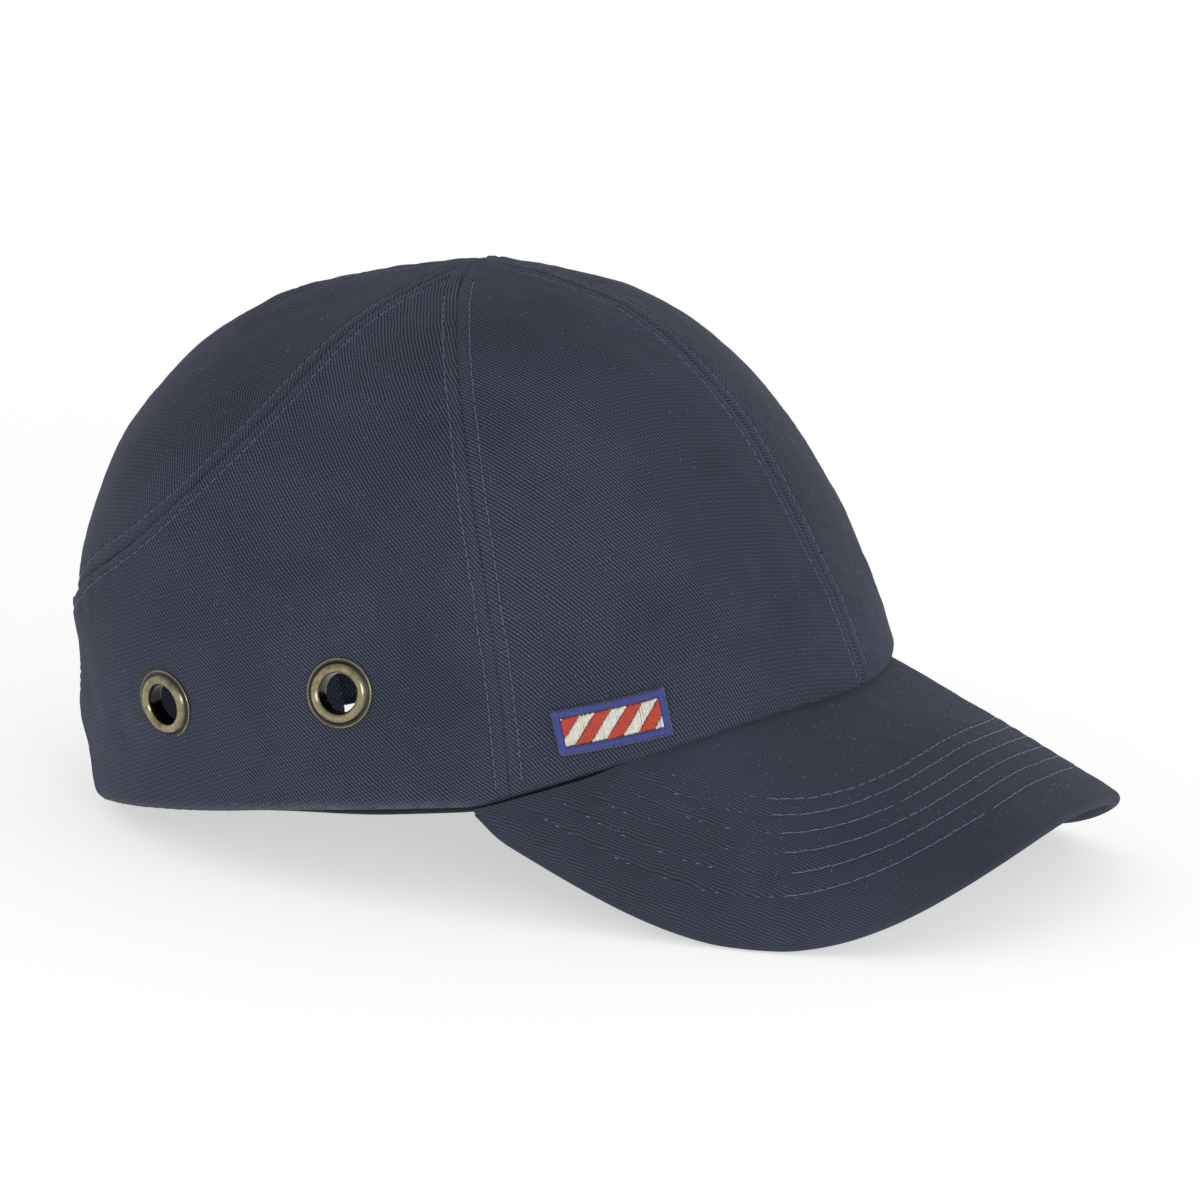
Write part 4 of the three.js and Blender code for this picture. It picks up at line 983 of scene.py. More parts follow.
def peak_grid():
    n, m = 340, 104
    u = np.linspace(-1, 1, n)
    deg = u * (PEAK_END + 0.4)
    th = deg * D
    r = hem_r(th)
    k = smooth(np.abs(deg), 34, 52)
    q = at(np.stack([r * np.cos(th), r * np.sin(th)], -1), FABRIC * 1.3 + (-0.55 - FABRIC * 1.3) * k)
    R = PEAK_THICK / 2
    bd = np.linspace(-1, 1, 24001)
    bd = np.sign(bd) * (1 - (1 - np.abs(bd)) ** 3) * 89.75 * D
    fd, sd = outline(bd, R - 1.15)
    # the edge runs on past the widest place, straight back to the hem
    k = np.linspace(0, 1, 60)[:-1]
    fd = np.concatenate([q[0, 0] + (fd[0] - q[0, 0]) * k, fd, (q[-1, 0] + (fd[-1] - q[-1, 0]) * k)[::-1]])
    sd = np.concatenate([q[0, 1] + (sd[0] - q[0, 1]) * k, sd, (q[-1, 1] + (sd[-1] - q[-1, 1]) * k)[::-1]])
    ld = line_len(np.stack([fd, sd, peak_z(fd, sd)], -1))
    bd = np.concatenate([np.full(59, bd[0]), bd, np.full(59, bd[-1])])
    x = 1.5 + (u + 1) / 2 * (ld[-1] - 3)
    be, fo, so = np.interp(x, ld, bd), np.interp(x, ld, fd), np.interp(x, ld, sd)
    v = 1 - (1 - np.linspace(0, 1, m)) ** 1.0
    F = q[:, None, 0] + (fo - q[:, 0])[:, None] * v[None]
    S = q[:, None, 1] + (so - q[:, 1])[:, None] * v[None]
    return F, S, 0.3 + 0.7 * smooth(np.minimum(x, ld[-1] - x), 0, 10)


F, S, TAPER = peak_grid()
Pp = np.stack([F, S, peak_z(F, S)], -1)
Np = peak_n(F, S)
dist_rows = []
edge0 = np.hypot(F - F[:, -1:], S - S[:, -1:])
hp = np.zeros(F.shape)
for i, L in enumerate(PROWS):
    d, a = near(Pp, L)
    # the rows are pulled in towards the middle of the peak and fade at the back
    p = np.sin(2 * np.pi * a / 6.8 + 2.5 * np.sin(a / 21 + i) + i * 2.0)
    hp += (-0.16 * np.exp(-(d / 0.5) ** 2) + 0.035 * g(d, 2.2, 1.1) * (1 + 0.5 * p)) * smooth(edge0, 1, 5)
    dist_rows.append(d)
side3 = np.stack([F, S, Pp[..., 2]], -1)
hp += (0.10 * folds(side3 * 1.1 + 7) + 0.06 * wrinkle(side3 + 3) + 0.025 * fine(side3)) * (0.25 + 0.75 * smooth(edge0, 0, 5))
edge_d = np.hypot(F - F[:, -1:], S - S[:, -1:])
inner_d = np.hypot(F - F[:, :1], S - S[:, :1])
hp += 0.10 * g(edge_d, 4.0, 2.4) - 0.06 * g(edge_d, 7.2, 1.5)
hp *= smooth(inner_d, 0, 3)
R = PEAK_THICK / 2
arcs = np.linspace(0, 86, 9)[1:] * D
w_out = np.stack([np.gradient(F[:, -1]), np.gradient(S[:, -1])], -1)
w_out = np.stack([-w_out[:, 1], w_out[:, 0]], -1)
w_out = unit(np.where((w_out * np.stack([F[:, -1] - 60, S[:, -1]], -1)).sum(-1, keepdims=True) < 0, -w_out, w_out))
# outward along the surface, square to the edge
e3 = np.stack([w_out[:, 0], w_out[:, 1], np.zeros(len(w_out))], -1)
e3 = unit(e3 - Np[:, -1] * (e3 * Np[:, -1]).sum(-1, keepdims=True))


def peak_cover(name, under):
    # the edge thins out where it runs in under the hem
    Rt = R * TAPER
    core = Pp - Np * Rt[:, None, None]
    sgn = -1.0 if under else 1.0
    h = hp * (0.55 if under else 1.0)
    top = core + sgn * Np * (Rt[:, None] + h)[..., None]
    last = core[:, -1]
    wrap = [last + sgn * Np[:, -1] * (Rt * math.cos(a))[:, None] + e3 * (TAPER * (R * math.sin(a) * 1.05 - 0.35 * (1 - math.cos(3 * (a - 86 * D))) * (a > 70 * D)))[:, None] for a in arcs]
    G = np.concatenate([top, np.stack(wrap, 1)], 1)
    n = grid_n(G)
    if ((n * Np[:, :1]).sum(-1).mean() < 0) != under:
        n = -n
    In = G - n * np.minimum(0.72, Rt * 0.8)[:, None, None]
    # the edge that stands on the table is pressed flat
    def stand(Q):
        Q = place(Q) * 1000
        Q[..., 2] = np.where(Q[..., 2] < 0.8, 0.1 + 0.7 * np.exp((np.minimum(Q[..., 2], 0.8) - 0.8) / 0.7), Q[..., 2])
        return Q
    # keep the inner layer clear of the board
    wear_and_shade = np.concatenate([0.06 * g(edge_d, 0, 2.5) + 0.03, np.tile(0.07 * np.sin(arcs) ** 2, (len(G), 1))], 1)
    c = np.array([112.0, 0.0])
    a = np.stack([G[..., 1], -(G[..., 0] - c[0])], -1)
    dz = np.abs(np.gradient(G[..., 2], axis=1))
    # straight grain, measured along the surface
    u_arc = np.arcsin(np.clip(G[..., 1] / 95, -1, 1)) * 95 * 1.05
    uv = np.stack([u_arc, a[..., 1] * 1.12], -1)
    for j, x in enumerate(arcs):
        # the grain runs on round the edge
        uv[:, F.shape[1] + j] = uv[:, F.shape[1] - 1] + np.stack([w_out[:, 1], -w_out[:, 0]], -1) * (R * x * 1.1)
    o = slab(name, stand(G), stand(In), uv, wear_and_shade, bulge=0.2)
    # painted shade: the top cover's navy is darkened to 0.84 of the crown's to hold down the extra light on the
    # upward-facing peak; the under cover's is darkened to 0.82
    give(o, twill("twill_" + name, tuple(x * (0.84 if not under else 0.82) for x in NAVY), 10, pitch=0.66, soft=0.24 if not under else 0.1, fuzz=0.9), "cover",
         ["peak_under_cover" if under else "peak_top_cover"])
    return o


peak_cover("peak_cloth_top", False)
peak_cover("peak_cloth_under", True)
rows_t, rows_u = [], []
for i, L in enumerate(PROWS):
    n = peak_n(L[:, 0], L[:, 1])
    sk = 0.02
    base = L - n * 0.06
    weak = L[:, 1] > 0.893 * (63.5 + 14.6 * i / 5)
    cut = int(np.argmax(weak)) if weak.any() else len(L)
    rows_t += stitch_row(place(base[:cut]) * 1000, turn(n[:cut]), 3.4, 0.10, 0.11, seed=40 + i, skip=sk)
    if cut < len(L) - 8:
        # on the near turn the thread lies deep in the cloth and shows only here and there
        rows_t += stitch_row(place(base[cut:]) * 1000, turn(n[cut:]), 3.4, 2.3, 0.11, sink=0.05, seed=140 + i, skip=0.6)
    base = L - n * (PEAK_THICK - 0.12)
    rows_u += stitch_row(place(base) * 1000, turn(-n), 3.4, 0.5, 0.17, seed=60 + i)
thread_mesh("peak_stitching_top", rows_t, thread_mat("peak_thread", (0.105, 0.140, 0.250)), r=0.125)
thread_mesh("peak_stitching_under", rows_u)
pf = np.stack([r9.uniform(60, 156, 900), r9.uniform(-78, 78, 900)], -1)
th_p = np.arctan2(pf[:, 1], pf[:, 0])
hr_p = crown(th_p, hem_e(th_p))
inn = np.hypot(*pf.T) > np.hypot(hr_p[:, 0], hr_p[:, 1]) + 3
lim = ((np.maximum(pf[:, 0] - PK["f0"], 0)) / (PK["len"] - 4)) ** PK["n"] + (np.abs(pf[:, 1]) / (PK["half"] - 4)) ** PK["n"] < 1
pf = pf[inn & lim]
pp = np.stack([pf[:, 0], pf[:, 1], peak_z(pf[:, 0], pf[:, 1])], -1)
fibres("lint_peak", pp + peak_n(pf[:, 0], pf[:, 1]) * 0.08, peak_n(pf[:, 0], pf[:, 1]), 0.9, 0.032, M_LINT, 8)
# the stiff board between the covers, held back from every edge
ln = np.hypot(F[:, -1] - F[:, 0], S[:, -1] - S[:, 0])
use = np.flatnonzero(ln > 14)
use = use[(use > 16) & (use < len(F) - 17)][::2]
tb = np.linspace(0, 1, 46)[None] * (1 - 4.5 / ln[use])[:, None]
Fb = F[use][:, :1] + (F[use][:, -1:] - F[use][:, :1]) * tb
Sb = S[use][:, :1] + (S[use][:, -1:] - S[use][:, :1]) * tb
Pb, Nb = np.stack([Fb, Sb, peak_z(Fb, Sb)], -1), peak_n(Fb, Sb)
board = slab("peak_board_plate", place(Pb - Nb * (R - 0.55)) * 1000, place(Pb - Nb * (R + 0.55)) * 1000,
             np.stack([Sb, Fb], -1), bulge=0.3)
give(board, M_BOARD, "cover", ["peak_board"])


# -------------------------------------------------------------------- eyelets
def lathe(name, q, mirror, profile, seg=96):
    p, n = on(np.array(q)), normal(np.array(q))
    if mirror:
        p, n = flip(p), flip(n)
    P, N = place(p) * 1000, turn(n)
    ref = np.array([0, 0, 1.0]) if abs(N[2]) < 0.9 else np.array([0, 1.0, 0])
    X = unit(np.cross(ref, N))
    Y = np.cross(N, X)
    pr = np.asarray(profile, float)
    a = np.linspace(0, 2 * np.pi, seg, endpoint=False)
    ring = np.cos(a)[:, None] * X + np.sin(a)[:, None] * Y
    V = P + ring[:, None] * pr[None, :, :1] + N * pr[None, :, 1:]
    k = len(pr)
    i, j = np.meshgrid(np.arange(seg), np.arange(k), indexing="ij")
    i2, j2 = (i + 1) % seg, (j + 1) % k
    Fq = np.stack([i * k + j, i2 * k + j, i2 * k + j2, i * k + j2], -1).reshape(-1, 4)
    rr, hh = pr[:, 0], pr[:, 1]
    # painted reflection and painted shade: the groove round the rim is marked dark as a painted reflection, and the
    # hole's barrel and the parts below (the whole washer) are marked dark as painted shade
    painted_shade = np.maximum(np.minimum(1, 1.25 * g(rr, 8.02, 0.50)) * (hh > 0.2), 1 - smooth(rr, 4.98, 5.35))
    painted_shade = np.maximum(painted_shade, 0.6 * (hh < -1))
    o = mesh_of(name, V.reshape(-1, 3) / 1000, Fq, None, np.tile(painted_shade, seg))
    outward(o.data)
    return o


def closed_spline(pts, per):
    p = np.asarray(pts, float)
    full = spline(np.vstack([p[-2:], p, p[:2]]), per * (len(p) + 3))
    per = max(2, int(np.ceil(per * (len(p) + 3) / (len(p) + 3))))
    return full[2 * per:(2 + len(p)) * per]


EYE_PROFILE = [(8.78, 0.02), (8.88, 0.28), (8.72, 0.52), (8.50, 0.50), (8.25, 0.46), (7.95, 0.52), (7.70, 0.78), (7.42, 1.20),
               (7.00, 1.58), (6.50, 1.78), (6.00, 1.76), (5.55, 1.50), (5.22, 1.05), (5.06, 0.50), (5.00, -0.1), (4.98, -1.4), (5.0, -2.9),
               (5.2, -3.35), (5.9, -3.5), (6.7, -3.35), (6.75, -3.0), (6.1, -2.95), (5.45, -2.8), (5.4, -1.4), (5.4, -0.1), (6.6, 0.02), (7.8, -0.02)]
for side in ("right", "left"):
    for where, q in zip(("front", "rear"), EYELETS):
        o = lathe(f"eyelet_ring_{side}_{where}", q, side == "left", closed_spline(EYE_PROFILE, 3))
        give(o, M_BRASS, "cover", [f"eyelet_{side}_{where}"])
        w = lathe(f"washer_ring_{side}_{where}", q, side == "left",
                  closed_spline([(8.3, -2.2), (8.2, -2.5), (7.0, -2.62), (6.0, -2.56), (5.9, -2.3), (6.0, -2.1), (7.0, -2.0), (8.2, -2.04)], 3))
        give(w, M_BRASS, "cover", [f"eyelet_washer_{side}_{where}"])


# -------------------------------------------------------------------- badge
def badge_q(p, q):
    """Chart point at p along the badge (0 to 1) and q across it (0 top to 1 bottom)."""
    p, q = np.broadcast_arrays(np.asarray(p, float), np.asarray(q, float))
    w = [(1 - p) * (1 - q), p * (1 - q), p * q, (1 - p) * q]
    c = on(BADGE)
    v = sum(w[i][..., None] * c[i] for i in range(4)) - [0, 0, CROWN_Z]
    r = 90 - np.arcsin(v[..., 2] / np.linalg.norm(v, axis=-1)) / D
    th = np.arctan2(v[..., 1], v[..., 0])
    return np.stack([r * np.cos(th), r * np.sin(th)], -1)


BW, BH = 27.6, 11.0
hb_u, hb_v = np.meshgrid(np.linspace(-0.05, 1.05, 45), np.linspace(-0.05, 1.05, 25), indexing="ij")
HB = np.maximum(relief(on(badge_q(hb_u, hb_v)), "front", False)[0], 0)


def badge_h(p, q):
    """Height of the front panel's cloth under a point of the badge."""
    x = np.clip((np.asarray(p, float) + 0.05) / 1.1 * 44, 0, 43.999)
    y = np.clip((np.asarray(q, float) + 0.05) / 1.1 * 24, 0, 23.999)
    i, j = x.astype(int), y.astype(int)
    a, b = x - i, y - j
    return (HB[i, j] * (1 - a) * (1 - b) + HB[i + 1, j] * a * (1 - b) + HB[i, j + 1] * (1 - a) * b + HB[i + 1, j + 1] * a * b)


u, v = np.meshgrid(np.linspace(0, 1, 70), np.linspace(0, 1, 30), indexing="ij")
bq = badge_q(u, v)
bA, bB = at(bq, -0.95 - badge_h(u, v)), at(bq, -0.15 - badge_h(u, v))
o = slab("badge_patch", place(bA) * 1000, place(bB) * 1000, np.stack([u * BW, v * BH], -1), bulge=0.5)
give(o, M_DARK, "cover", ["badge"])


def embroider(name, segs, mat, r, lift, body="cover"):
    """Threads between two points of the badge, in millimetres along and across it."""
    out = []
    for (x0, y0), (x1, y1) in segs:
        n = max(4, int(math.hypot(x1 - x0, y1 - y0) / 0.7) + 3)
        t = np.linspace(0, 1, n)
        qq = badge_q((x0 + (x1 - x0) * t) / BW, (y0 + (y1 - y0) * t) / BH)
        arch = lift + 0.22 * np.sin(np.pi * t) ** 0.5
        arch[[0, -1]] = lift - 0.28
        P = at(qq, -(0.95 + arch + badge_h((x0 + (x1 - x0) * t) / BW, (y0 + (y1 - y0) * t) / BH)))
        N = turn(normal(qq))
        out.append((place(P), N))
    o = tubes(name, out, r / 1000, 6)
    give(o, mat, body)
    return o


rb = np.random.default_rng(21)
bars = {"w": [], "r": [], "b": []}
inset, pitch_t = 1.9, 0.34
xs = np.arange(inset, BW - inset, pitch_t)
for x in xs:
    y = inset
    # diagonal bars: colour changes along a slanting coordinate
    y0 = inset - 0.05
    edges = []
    yy = np.arange(inset, BH - inset + 1e-6, 0.05)
    z = (x + yy * 0.85) / 3.9
    kind = np.where((np.floor(z) % 2) == 0, 0, 1)
    cut = np.flatnonzero(np.diff(kind)) + 1
    start = 0
    for c in list(cut) + [len(yy) - 1]:
        a, b = yy[start], yy[c]
        if b - a > 0.25:
            jx, ja, jb = rb.normal(0, 0.04), rb.normal(0, 0.07), rb.normal(0, 0.07)
            bars["w" if kind[start] == 0 else "r"].append(((x + jx, a + ja - 0.1), (x + jx, b + jb + 0.1)))
        start = c
for e in np.arange(0.15, 2 * (BW + BH), 0.34):
    w0, w1 = -0.15 + rb.normal(0, 0.05), 1.75 + rb.normal(0, 0.06)
    if e < BW:
        s = ((e, w0), (e, w1))
    elif e < BW + BH:
        s = ((BW - w0, e - BW), (BW - w1, e - BW))
    elif e < 2 * BW + BH:
        s = ((2 * BW + BH - e, BH - w0), (2 * BW + BH - e, BH - w1))
    else:
        s = ((w0, 2 * BW + 2 * BH - e), (w1, 2 * BW + 2 * BH - e))
    bars["b"].append(s)
embroider("badge_white_threads", bars["w"], M_WHITE, 0.21, 0.02)
embroider("badge_red_threads", bars["r"], M_RED, 0.21, 0.0)
embroider("badge_border_threads", bars["b"], M_BLUE, 0.22, 0.10)


# ---------------------------------------------------------------- inner trim
def strip_grid(line, n, width, rows, pillow, d0, d1, mirror):
    c = resample(line, n)
    P, N = on(c), normal(c)
    T = unit(np.gradient(P, axis=0))
    Sd = unit(np.cross(N, T))
    w = np.linspace(-0.5, 0.5, rows)
    Q = P[:, None] + Sd[:, None] * (w * width)[None, :, None]
    ep = np.arcsin((Q[..., 2] - CROWN_Z) / np.linalg.norm(Q - [0, 0, CROWN_Z], axis=-1))
    th = np.arctan2(Q[..., 1], Q[..., 0])
    r = 90 - ep / D
    q = np.stack([r * np.cos(th), r * np.sin(th)], -1)
    bow = pillow * (1 - (2 * w) ** 2)[None]
    ripple = 0.05 * np.sin(np.arange(n) * 1.7)[:, None]
    outer = at(q, d0 + 0 * bow)
    inner = at(q, d1 + bow + ripple)
    s = line_len(P)
    uv = np.stack(np.broadcast_arrays((w * width)[None], s[:, None]), -1)
    if mirror:
        outer, inner = flip(outer), flip(inner)
    return outer, inner, uv, q


T0 = FABRIC + GAP + 0.45
T1 = T0 + 0.6


def tape(name, node, line, n, width, d0, d1, mirror):
    A, B, uv, q = strip_grid(line, n, width, 14, 0.22, d0, d1, mirror)
    o = slab(name, place(A) * 1000, place(B) * 1000, uv, bulge=0.4)
    give(o, M_TAPE, "cover", [node])
    rows = []
    for k in (2, 11):
        L = B[:, k]
        nn = normal(q[:, k])
        if mirror:
            nn = flip(nn)
        rows += stitch_row(place(L) * 1000, turn(-nn), 2.8, 0.45, 0.16, seed=70 + k + len(name), sink=0.05)
    return rows


def tclip(line, r0, h):
    q = np.asarray(line)
    return q[(np.hypot(q[:, 0], q[:, 1]) >= r0) & above(q, h)]


fl = np.stack([0.5 + np.arange(200) * 0.6, np.zeros(200)], -1)
trows = tape("tape_cloth_front", "seam_tape_front", tclip(fl, 6, SWEAT_UP + 1.5), 120, 9, T0, T1, False)
for side in ("right", "left"):
    mir = side == "left"
    trows += tape(f"tape_cloth_side_{side}", f"seam_tape_side_{side}", tclip(side_all, 9, SWEAT_UP + 1.5), 120, 9, T0, T1, mir)
    rl = rear_all[(np.hypot(rear_all[:, 0], rear_all[:, 1]) > 11) & (np.arctan2(rear_all[:, 1], rear_all[:, 0]) < 177 * D)]
    trows += tape(f"tape_cloth_rear_{side}", f"seam_tape_rear_{side}", rl, 150, 7.5, T0 + 0.3, T1 + 0.3, mir)
half = arch_line(161, 2.3)[1:]
bl = np.vstack([half, (half[:-1][::-1]) * [1, -1]])
bl = bl[above(bl, STRAP_H + 4)]
trows += tape("binding_cloth", "half_moon_binding", bl, 150, 3.6, T0, T1, False)
thread_mesh("tape_stitching", trows, r=0.16)

# sweatband
deg = np.linspace(-SWEAT_END, SWEAT_END, 460)
thb = deg * D
wv = 1 / (1 + np.exp(-((PEAK_END - 6 - np.abs(deg)) / 1.8)))
hs = np.concatenate([[0, 0], np.linspace(0, SWEAT_UP, 22)[1:]])
hr = hem_r(thb)
d0 = FABRIC + GAP + wv * 0.35
down = 1.0 - 0.9 * smooth(np.abs(deg), 84, 104) + wv * (PEAK_THICK - 0.4)
oA, oB = [], []
edge = np.linspace(1, 0, 4)
for e in edge[:-1]:
    q = np.stack([hr * np.cos(thb), hr * np.sin(thb)], -1)
    z = np.stack([0 * down, 0 * down, -down * e], -1)
    oA.append(at(q, d0) + z)
    oB.append(at(q, d0 + SWEAT_THICK - 0.5 * (e > 0.8)) + z)
for h in np.linspace(0, SWEAT_UP, 26):
    q = above_hem(deg, h) if h else np.stack([hr * np.cos(thb), hr * np.sin(thb)], -1)
    puff = -0.25 * g(h, 3.2, 0.7) + 0.22 * g(h, 8.5, 5.0) - 0.5 * g(h, SWEAT_UP, 1.2)
    rip = 0.10 * np.sin(deg * 1.9 + 1.5 * np.sin(deg / 7)) * g(h, 3.2, 3.0)
    oA.append(at(q, d0))
    oB.append(at(q, d0 + SWEAT_THICK - 0.2 + puff + rip))
oA, oB = np.stack(oA, 1), np.stack(oB, 1)
suv = np.stack(np.broadcast_arrays(line_len(oA[:, 5])[:, None], np.linspace(0, 19, oA.shape[1])[None]), -1)
o = slab("sweatband_cloth", place(oA) * 1000, place(oB) * 1000, suv, bulge=0.4)
give(o, M_TERRY, "cover", ["sweatband"])
k = 3 + 5
rows = stitch_row(place(oB[:, k]) * 1000, turn(-normal(above_hem(deg, 3.2))), 3.0, 0.5, 0.17, seed=91, sink=0.03)
thread_mesh("sweatband_stitching", rows)

# size label, blank
u, v = np.meshgrid(np.linspace(0, 1, 24), np.linspace(0, 1, 20), indexing="ij")
lq = above_hem(116 + 12 * u, 13.5 - 11 * v)
dl = FABRIC + GAP + SWEAT_THICK + GAP
lA = at(lq, dl - 0.05 + 0 * u)
lB = at(lq, dl + 0.35 + 0.12 * np.sin(np.pi * u) + 0.05 * np.sin(9 * v))
o = slab("label_cloth", place(lA) * 1000, place(lB) * 1000, np.stack([u * 20, v * 11], -1), bulge=0.4)
give(o, M_LABEL, "cover", ["size_label"])


# -------------------------------------------------------------------- shell
def shell_foot(deg):
    a = np.abs((np.asarray(deg, float) + 180) % 360 - 180)
    return 24 + 16 * smooth(a, 25, 80) + 9 * smooth(a, 135, 175)


def tuck(q):
    r, th = np.hypot(q[..., 0], q[..., 1]), np.arctan2(q[..., 1], q[..., 0])
    ramp = lambda r0, r1: np.clip((r - r0) / (r1 - r0), 0, 1) ** 2
    return SHELL_TUCK[0] * ramp(50, 80) * np.maximum(0, -np.cos(th)) ** 2 + SHELL_TUCK[1] * ramp(38, 66) * np.maximum(0, np.cos(th)) ** 2


def inside_slot(P):
    """Signed distance, in millimetres, to the nearest vent slot of the shell; negative inside."""
    best = np.full(P.shape[:-1], 99.0)
    for a in (-150, -110, -70, -33, 33, 70, 110, 150):
        q = np.array([46 * math.cos(a * D), 46 * math.sin(a * D)])
        c, n = on(q), normal(q)
        k = 1 + 1.5 / 46
        dn = on(q * k) - c
        dn = unit(dn - n * (dn @ n))
        ac = np.cross(n, dn)
        v = P - c
        x, y = v @ dn, v @ ac
        d = np.hypot(np.maximum(np.abs(x) - 11.5, 0), y) - 3.5
        d = np.where(np.abs(v @ n) < 20, d, 99)
        best = np.minimum(best, d)
    return best


ni, nj = 300, 92
dg = np.linspace(-180, 180, ni, endpoint=False)
Rr = np.hypot(*np.moveaxis(above_hem(dg, shell_foot(dg)), -1, 0))
t = np.linspace(0, 1, nj)
rr = 0.25 + (Rr[:, None] - 0.25) * t[None]
q = np.stack([rr * np.cos(dg * D)[:, None], rr * np.sin(dg * D)[:, None]], -1)
tk = tuck(q)
sA = on(q) - normal(q) * (SHELL_OFFSET + tk)[..., None]
sB = on(q) - normal(q) * (SHELL_OFFSET + SHELL_THICK + tk)[..., None]
# cut the vent slots: leave out the cells whose middle lies inside a slot
sd = inside_slot(sA)
mid = (sA[:, :-1] + np.roll(sA, -1, 0)[:, 1:]) / 2
keep = inside_slot(mid) > 0
o = slab("shell_plastic_cap", place(sA) * 1000, place(sB) * 1000, None, None, keep, loop=True, bulge=0.2)
give(o, M_SHELL, "insert", ["inner_shell"])


# -------------------------------------------------------------------- pads
P0 = SHELL_OFFSET + SHELL_THICK + GAP + 0.7


def pad_obj(name, node, q, ee, extra, uv, rows=True, loop=False):
    """A covered foam pad: ee is the distance in from its edge, in millimetres."""
    full = PAD_THICK - 0.1
    x = np.clip(ee / 5.5, 0, 1)
    t = 1.0 + (full - 1.0) * np.sqrt(np.maximum(0, 1 - (1 - x) ** 2.2))
    t = t - 0.35 * g(ee, 2.2, 0.7)
    N = normal(q)
    base = on(q)
    t = t + 0.10 * wrinkle(base * 1.3) * x
    A = base - N * (P0 + extra + 0.15 * (1 - x))[..., None]
    B = base - N * (P0 + extra + np.clip(t, 0.9, 5.4))[..., None]
    o = slab(name, place(A) * 1000, place(B) * 1000, uv, None, None, loop=loop, bulge=0.45)
    give(o, M_FOAM, "insert", [node])
    return A, B


def band_pad(name, node, a0, a1, h0, h1):
    u = np.linspace(0, 1, 110)
    v = np.linspace(0, 1, 54)
    dg = a0 + (a1 - a0) * u
    hh = h1 + (h0 - h1) * v
    ft = shell_foot(dg)
    q = above_hem(dg[:, None] + 0 * hh[None], ft[:, None] + hh[None])
    P = on(q)
    lu = line_len(P[:, 27])
    lv = line_len(P[55])
    du = np.minimum(lu, lu[-1] - lu)[:, None]
    dv = np.minimum(lv, lv[-1] - lv)[None]
    # rounded corners
    rc = 7.0
    ex, ey = np.maximum(rc - du, 0), np.maximum(rc - dv, 0)
    ee = np.where((ex > 0) & (ey > 0), rc - np.hypot(ex, ey), np.minimum(du, dv) + 0 * ex)
    keepq = ee > -0.2
    midk = keepq[:-1, :-1] & keepq[1:, 1:] & keepq[:-1, 1:] & keepq[1:, :-1]
    mid = (a0 + a1) / 2
    extra = (SHELL_TUCK[0] - 0.6 if mid > 140 else SHELL_TUCK[1] if mid == 0 else 0.0) + 0 * ee
    full = PAD_THICK - 0.1
    x = np.clip(ee / 5.5, 0, 1)
    t = 1.0 + (full - 1.0) * np.sqrt(np.maximum(0, 1 - (1 - x) ** 2.2)) - 0.35 * g(ee, 2.2, 0.7)
    N = normal(q)
    t = t + 0.10 * wrinkle(P * 1.3) * x
    A = P - N * (P0 + extra + 0.15 * (1 - x))[..., None]
    B = P - N * (P0 + extra + np.clip(t, 0.9, 5.4))[..., None]
    o = slab(name, place(A) * 1000, place(B) * 1000, None, None, midk, bulge=0.45)
    give(o, M_FOAM, "insert", [node])
    # stitching round the edge
    L = []
    m = 2.4
    ring = []
    w, l = lu[-1], lv[-1]
    rr = rc - m
    for cx, cy, s0 in ((w - rc, rc, -90), (w - rc, l - rc, 0), (rc, l - rc, 90), (rc, rc, 180)):
        for a in np.linspace(s0, s0 + 90, 10) * D:
            ring.append((cx + rr * math.cos(a), cy + rr * math.sin(a)))
    ring.append(ring[0])
    ring = at_len(np.array(ring), np.linspace(0, line_len(np.array(ring))[-1], 400))
    uu = np.interp(ring[:, 0], lu, u)
    vv = np.interp(ring[:, 1], lv, v)
    dg2 = a0 + (a1 - a0) * uu
    q2 = above_hem(dg2, shell_foot(dg2) + h1 + (h0 - h1) * vv)
    N2 = normal(q2)
    tt = 1.0 + (full - 1.0) * math.sqrt(1 - (1 - m / 5.5) ** 2.2) - 0.33
    L = on(q2) - N2 * (P0 + float(extra.flat[0]) + tt)
    return stitch_row(place(L) * 1000, turn(-N2), 3.0, 0.5, 0.17, seed=120 + len(name), sink=0.05)


prow = []
prow += band_pad("pad_front_cloth", "front_pad", -38, 38, 3, 24)
prow += band_pad("pad_side_right_cloth", "side_pad_right", 58, 106, 3, 22)
prow += band_pad("pad_side_left_cloth", "side_pad_left", -106, -58, 3, 22)
prow += band_pad("pad_rear_cloth", "rear_pad", 152, 208, 3, 22)
# round pad
na, nr = 120, 40
aa = np.linspace(0, 360, na, endpoint=False) * D
tr = np.linspace(0.01, 1, nr)
q = np.stack([26 * tr[None] * np.cos(aa)[:, None] * 1.1, 26 * tr[None] * np.sin(aa)[:, None] * 0.9], -1)
P = on(q)
rad = np.cumsum(np.concatenate([np.zeros((na, 1)), np.linalg.norm(np.diff(P, axis=1), axis=-1)], 1), 1)
ee = rad[:, -1:] - rad
x = np.clip(ee / 5.5, 0, 1)
tt = 1.0 + 3.9 * np.sqrt(np.maximum(0, 1 - (1 - x) ** 2.2)) - 0.35 * g(ee, 2.2, 0.7) + 0.10 * wrinkle(P * 1.3) * x - 0.9 * g(rad, 15, 1.3)
N = normal(q)
A = P - N * (P0 + 0.15 * (1 - x))[..., None]
B = P - N * (P0 + np.clip(tt, 0.9, 5.4))[..., None]
o = slab("pad_crown_cloth", place(A) * 1000, place(B) * 1000, None, None, None, loop=True, bulge=0.45)
give(o, M_FOAM, "insert", ["crown_pad"])
k = int(np.argmin(np.abs(ee[0] - 2.4)))
ring = np.vstack([B[:, k], B[:1, k]])
rn = np.vstack([N[:, k], N[:1, k]])
prow += stitch_row(place(ring) * 1000, turn(-rn), 3.0, 0.5, 0.17, seed=140, sink=0.05)
thread_mesh("pad_stitching", prow, body="insert")


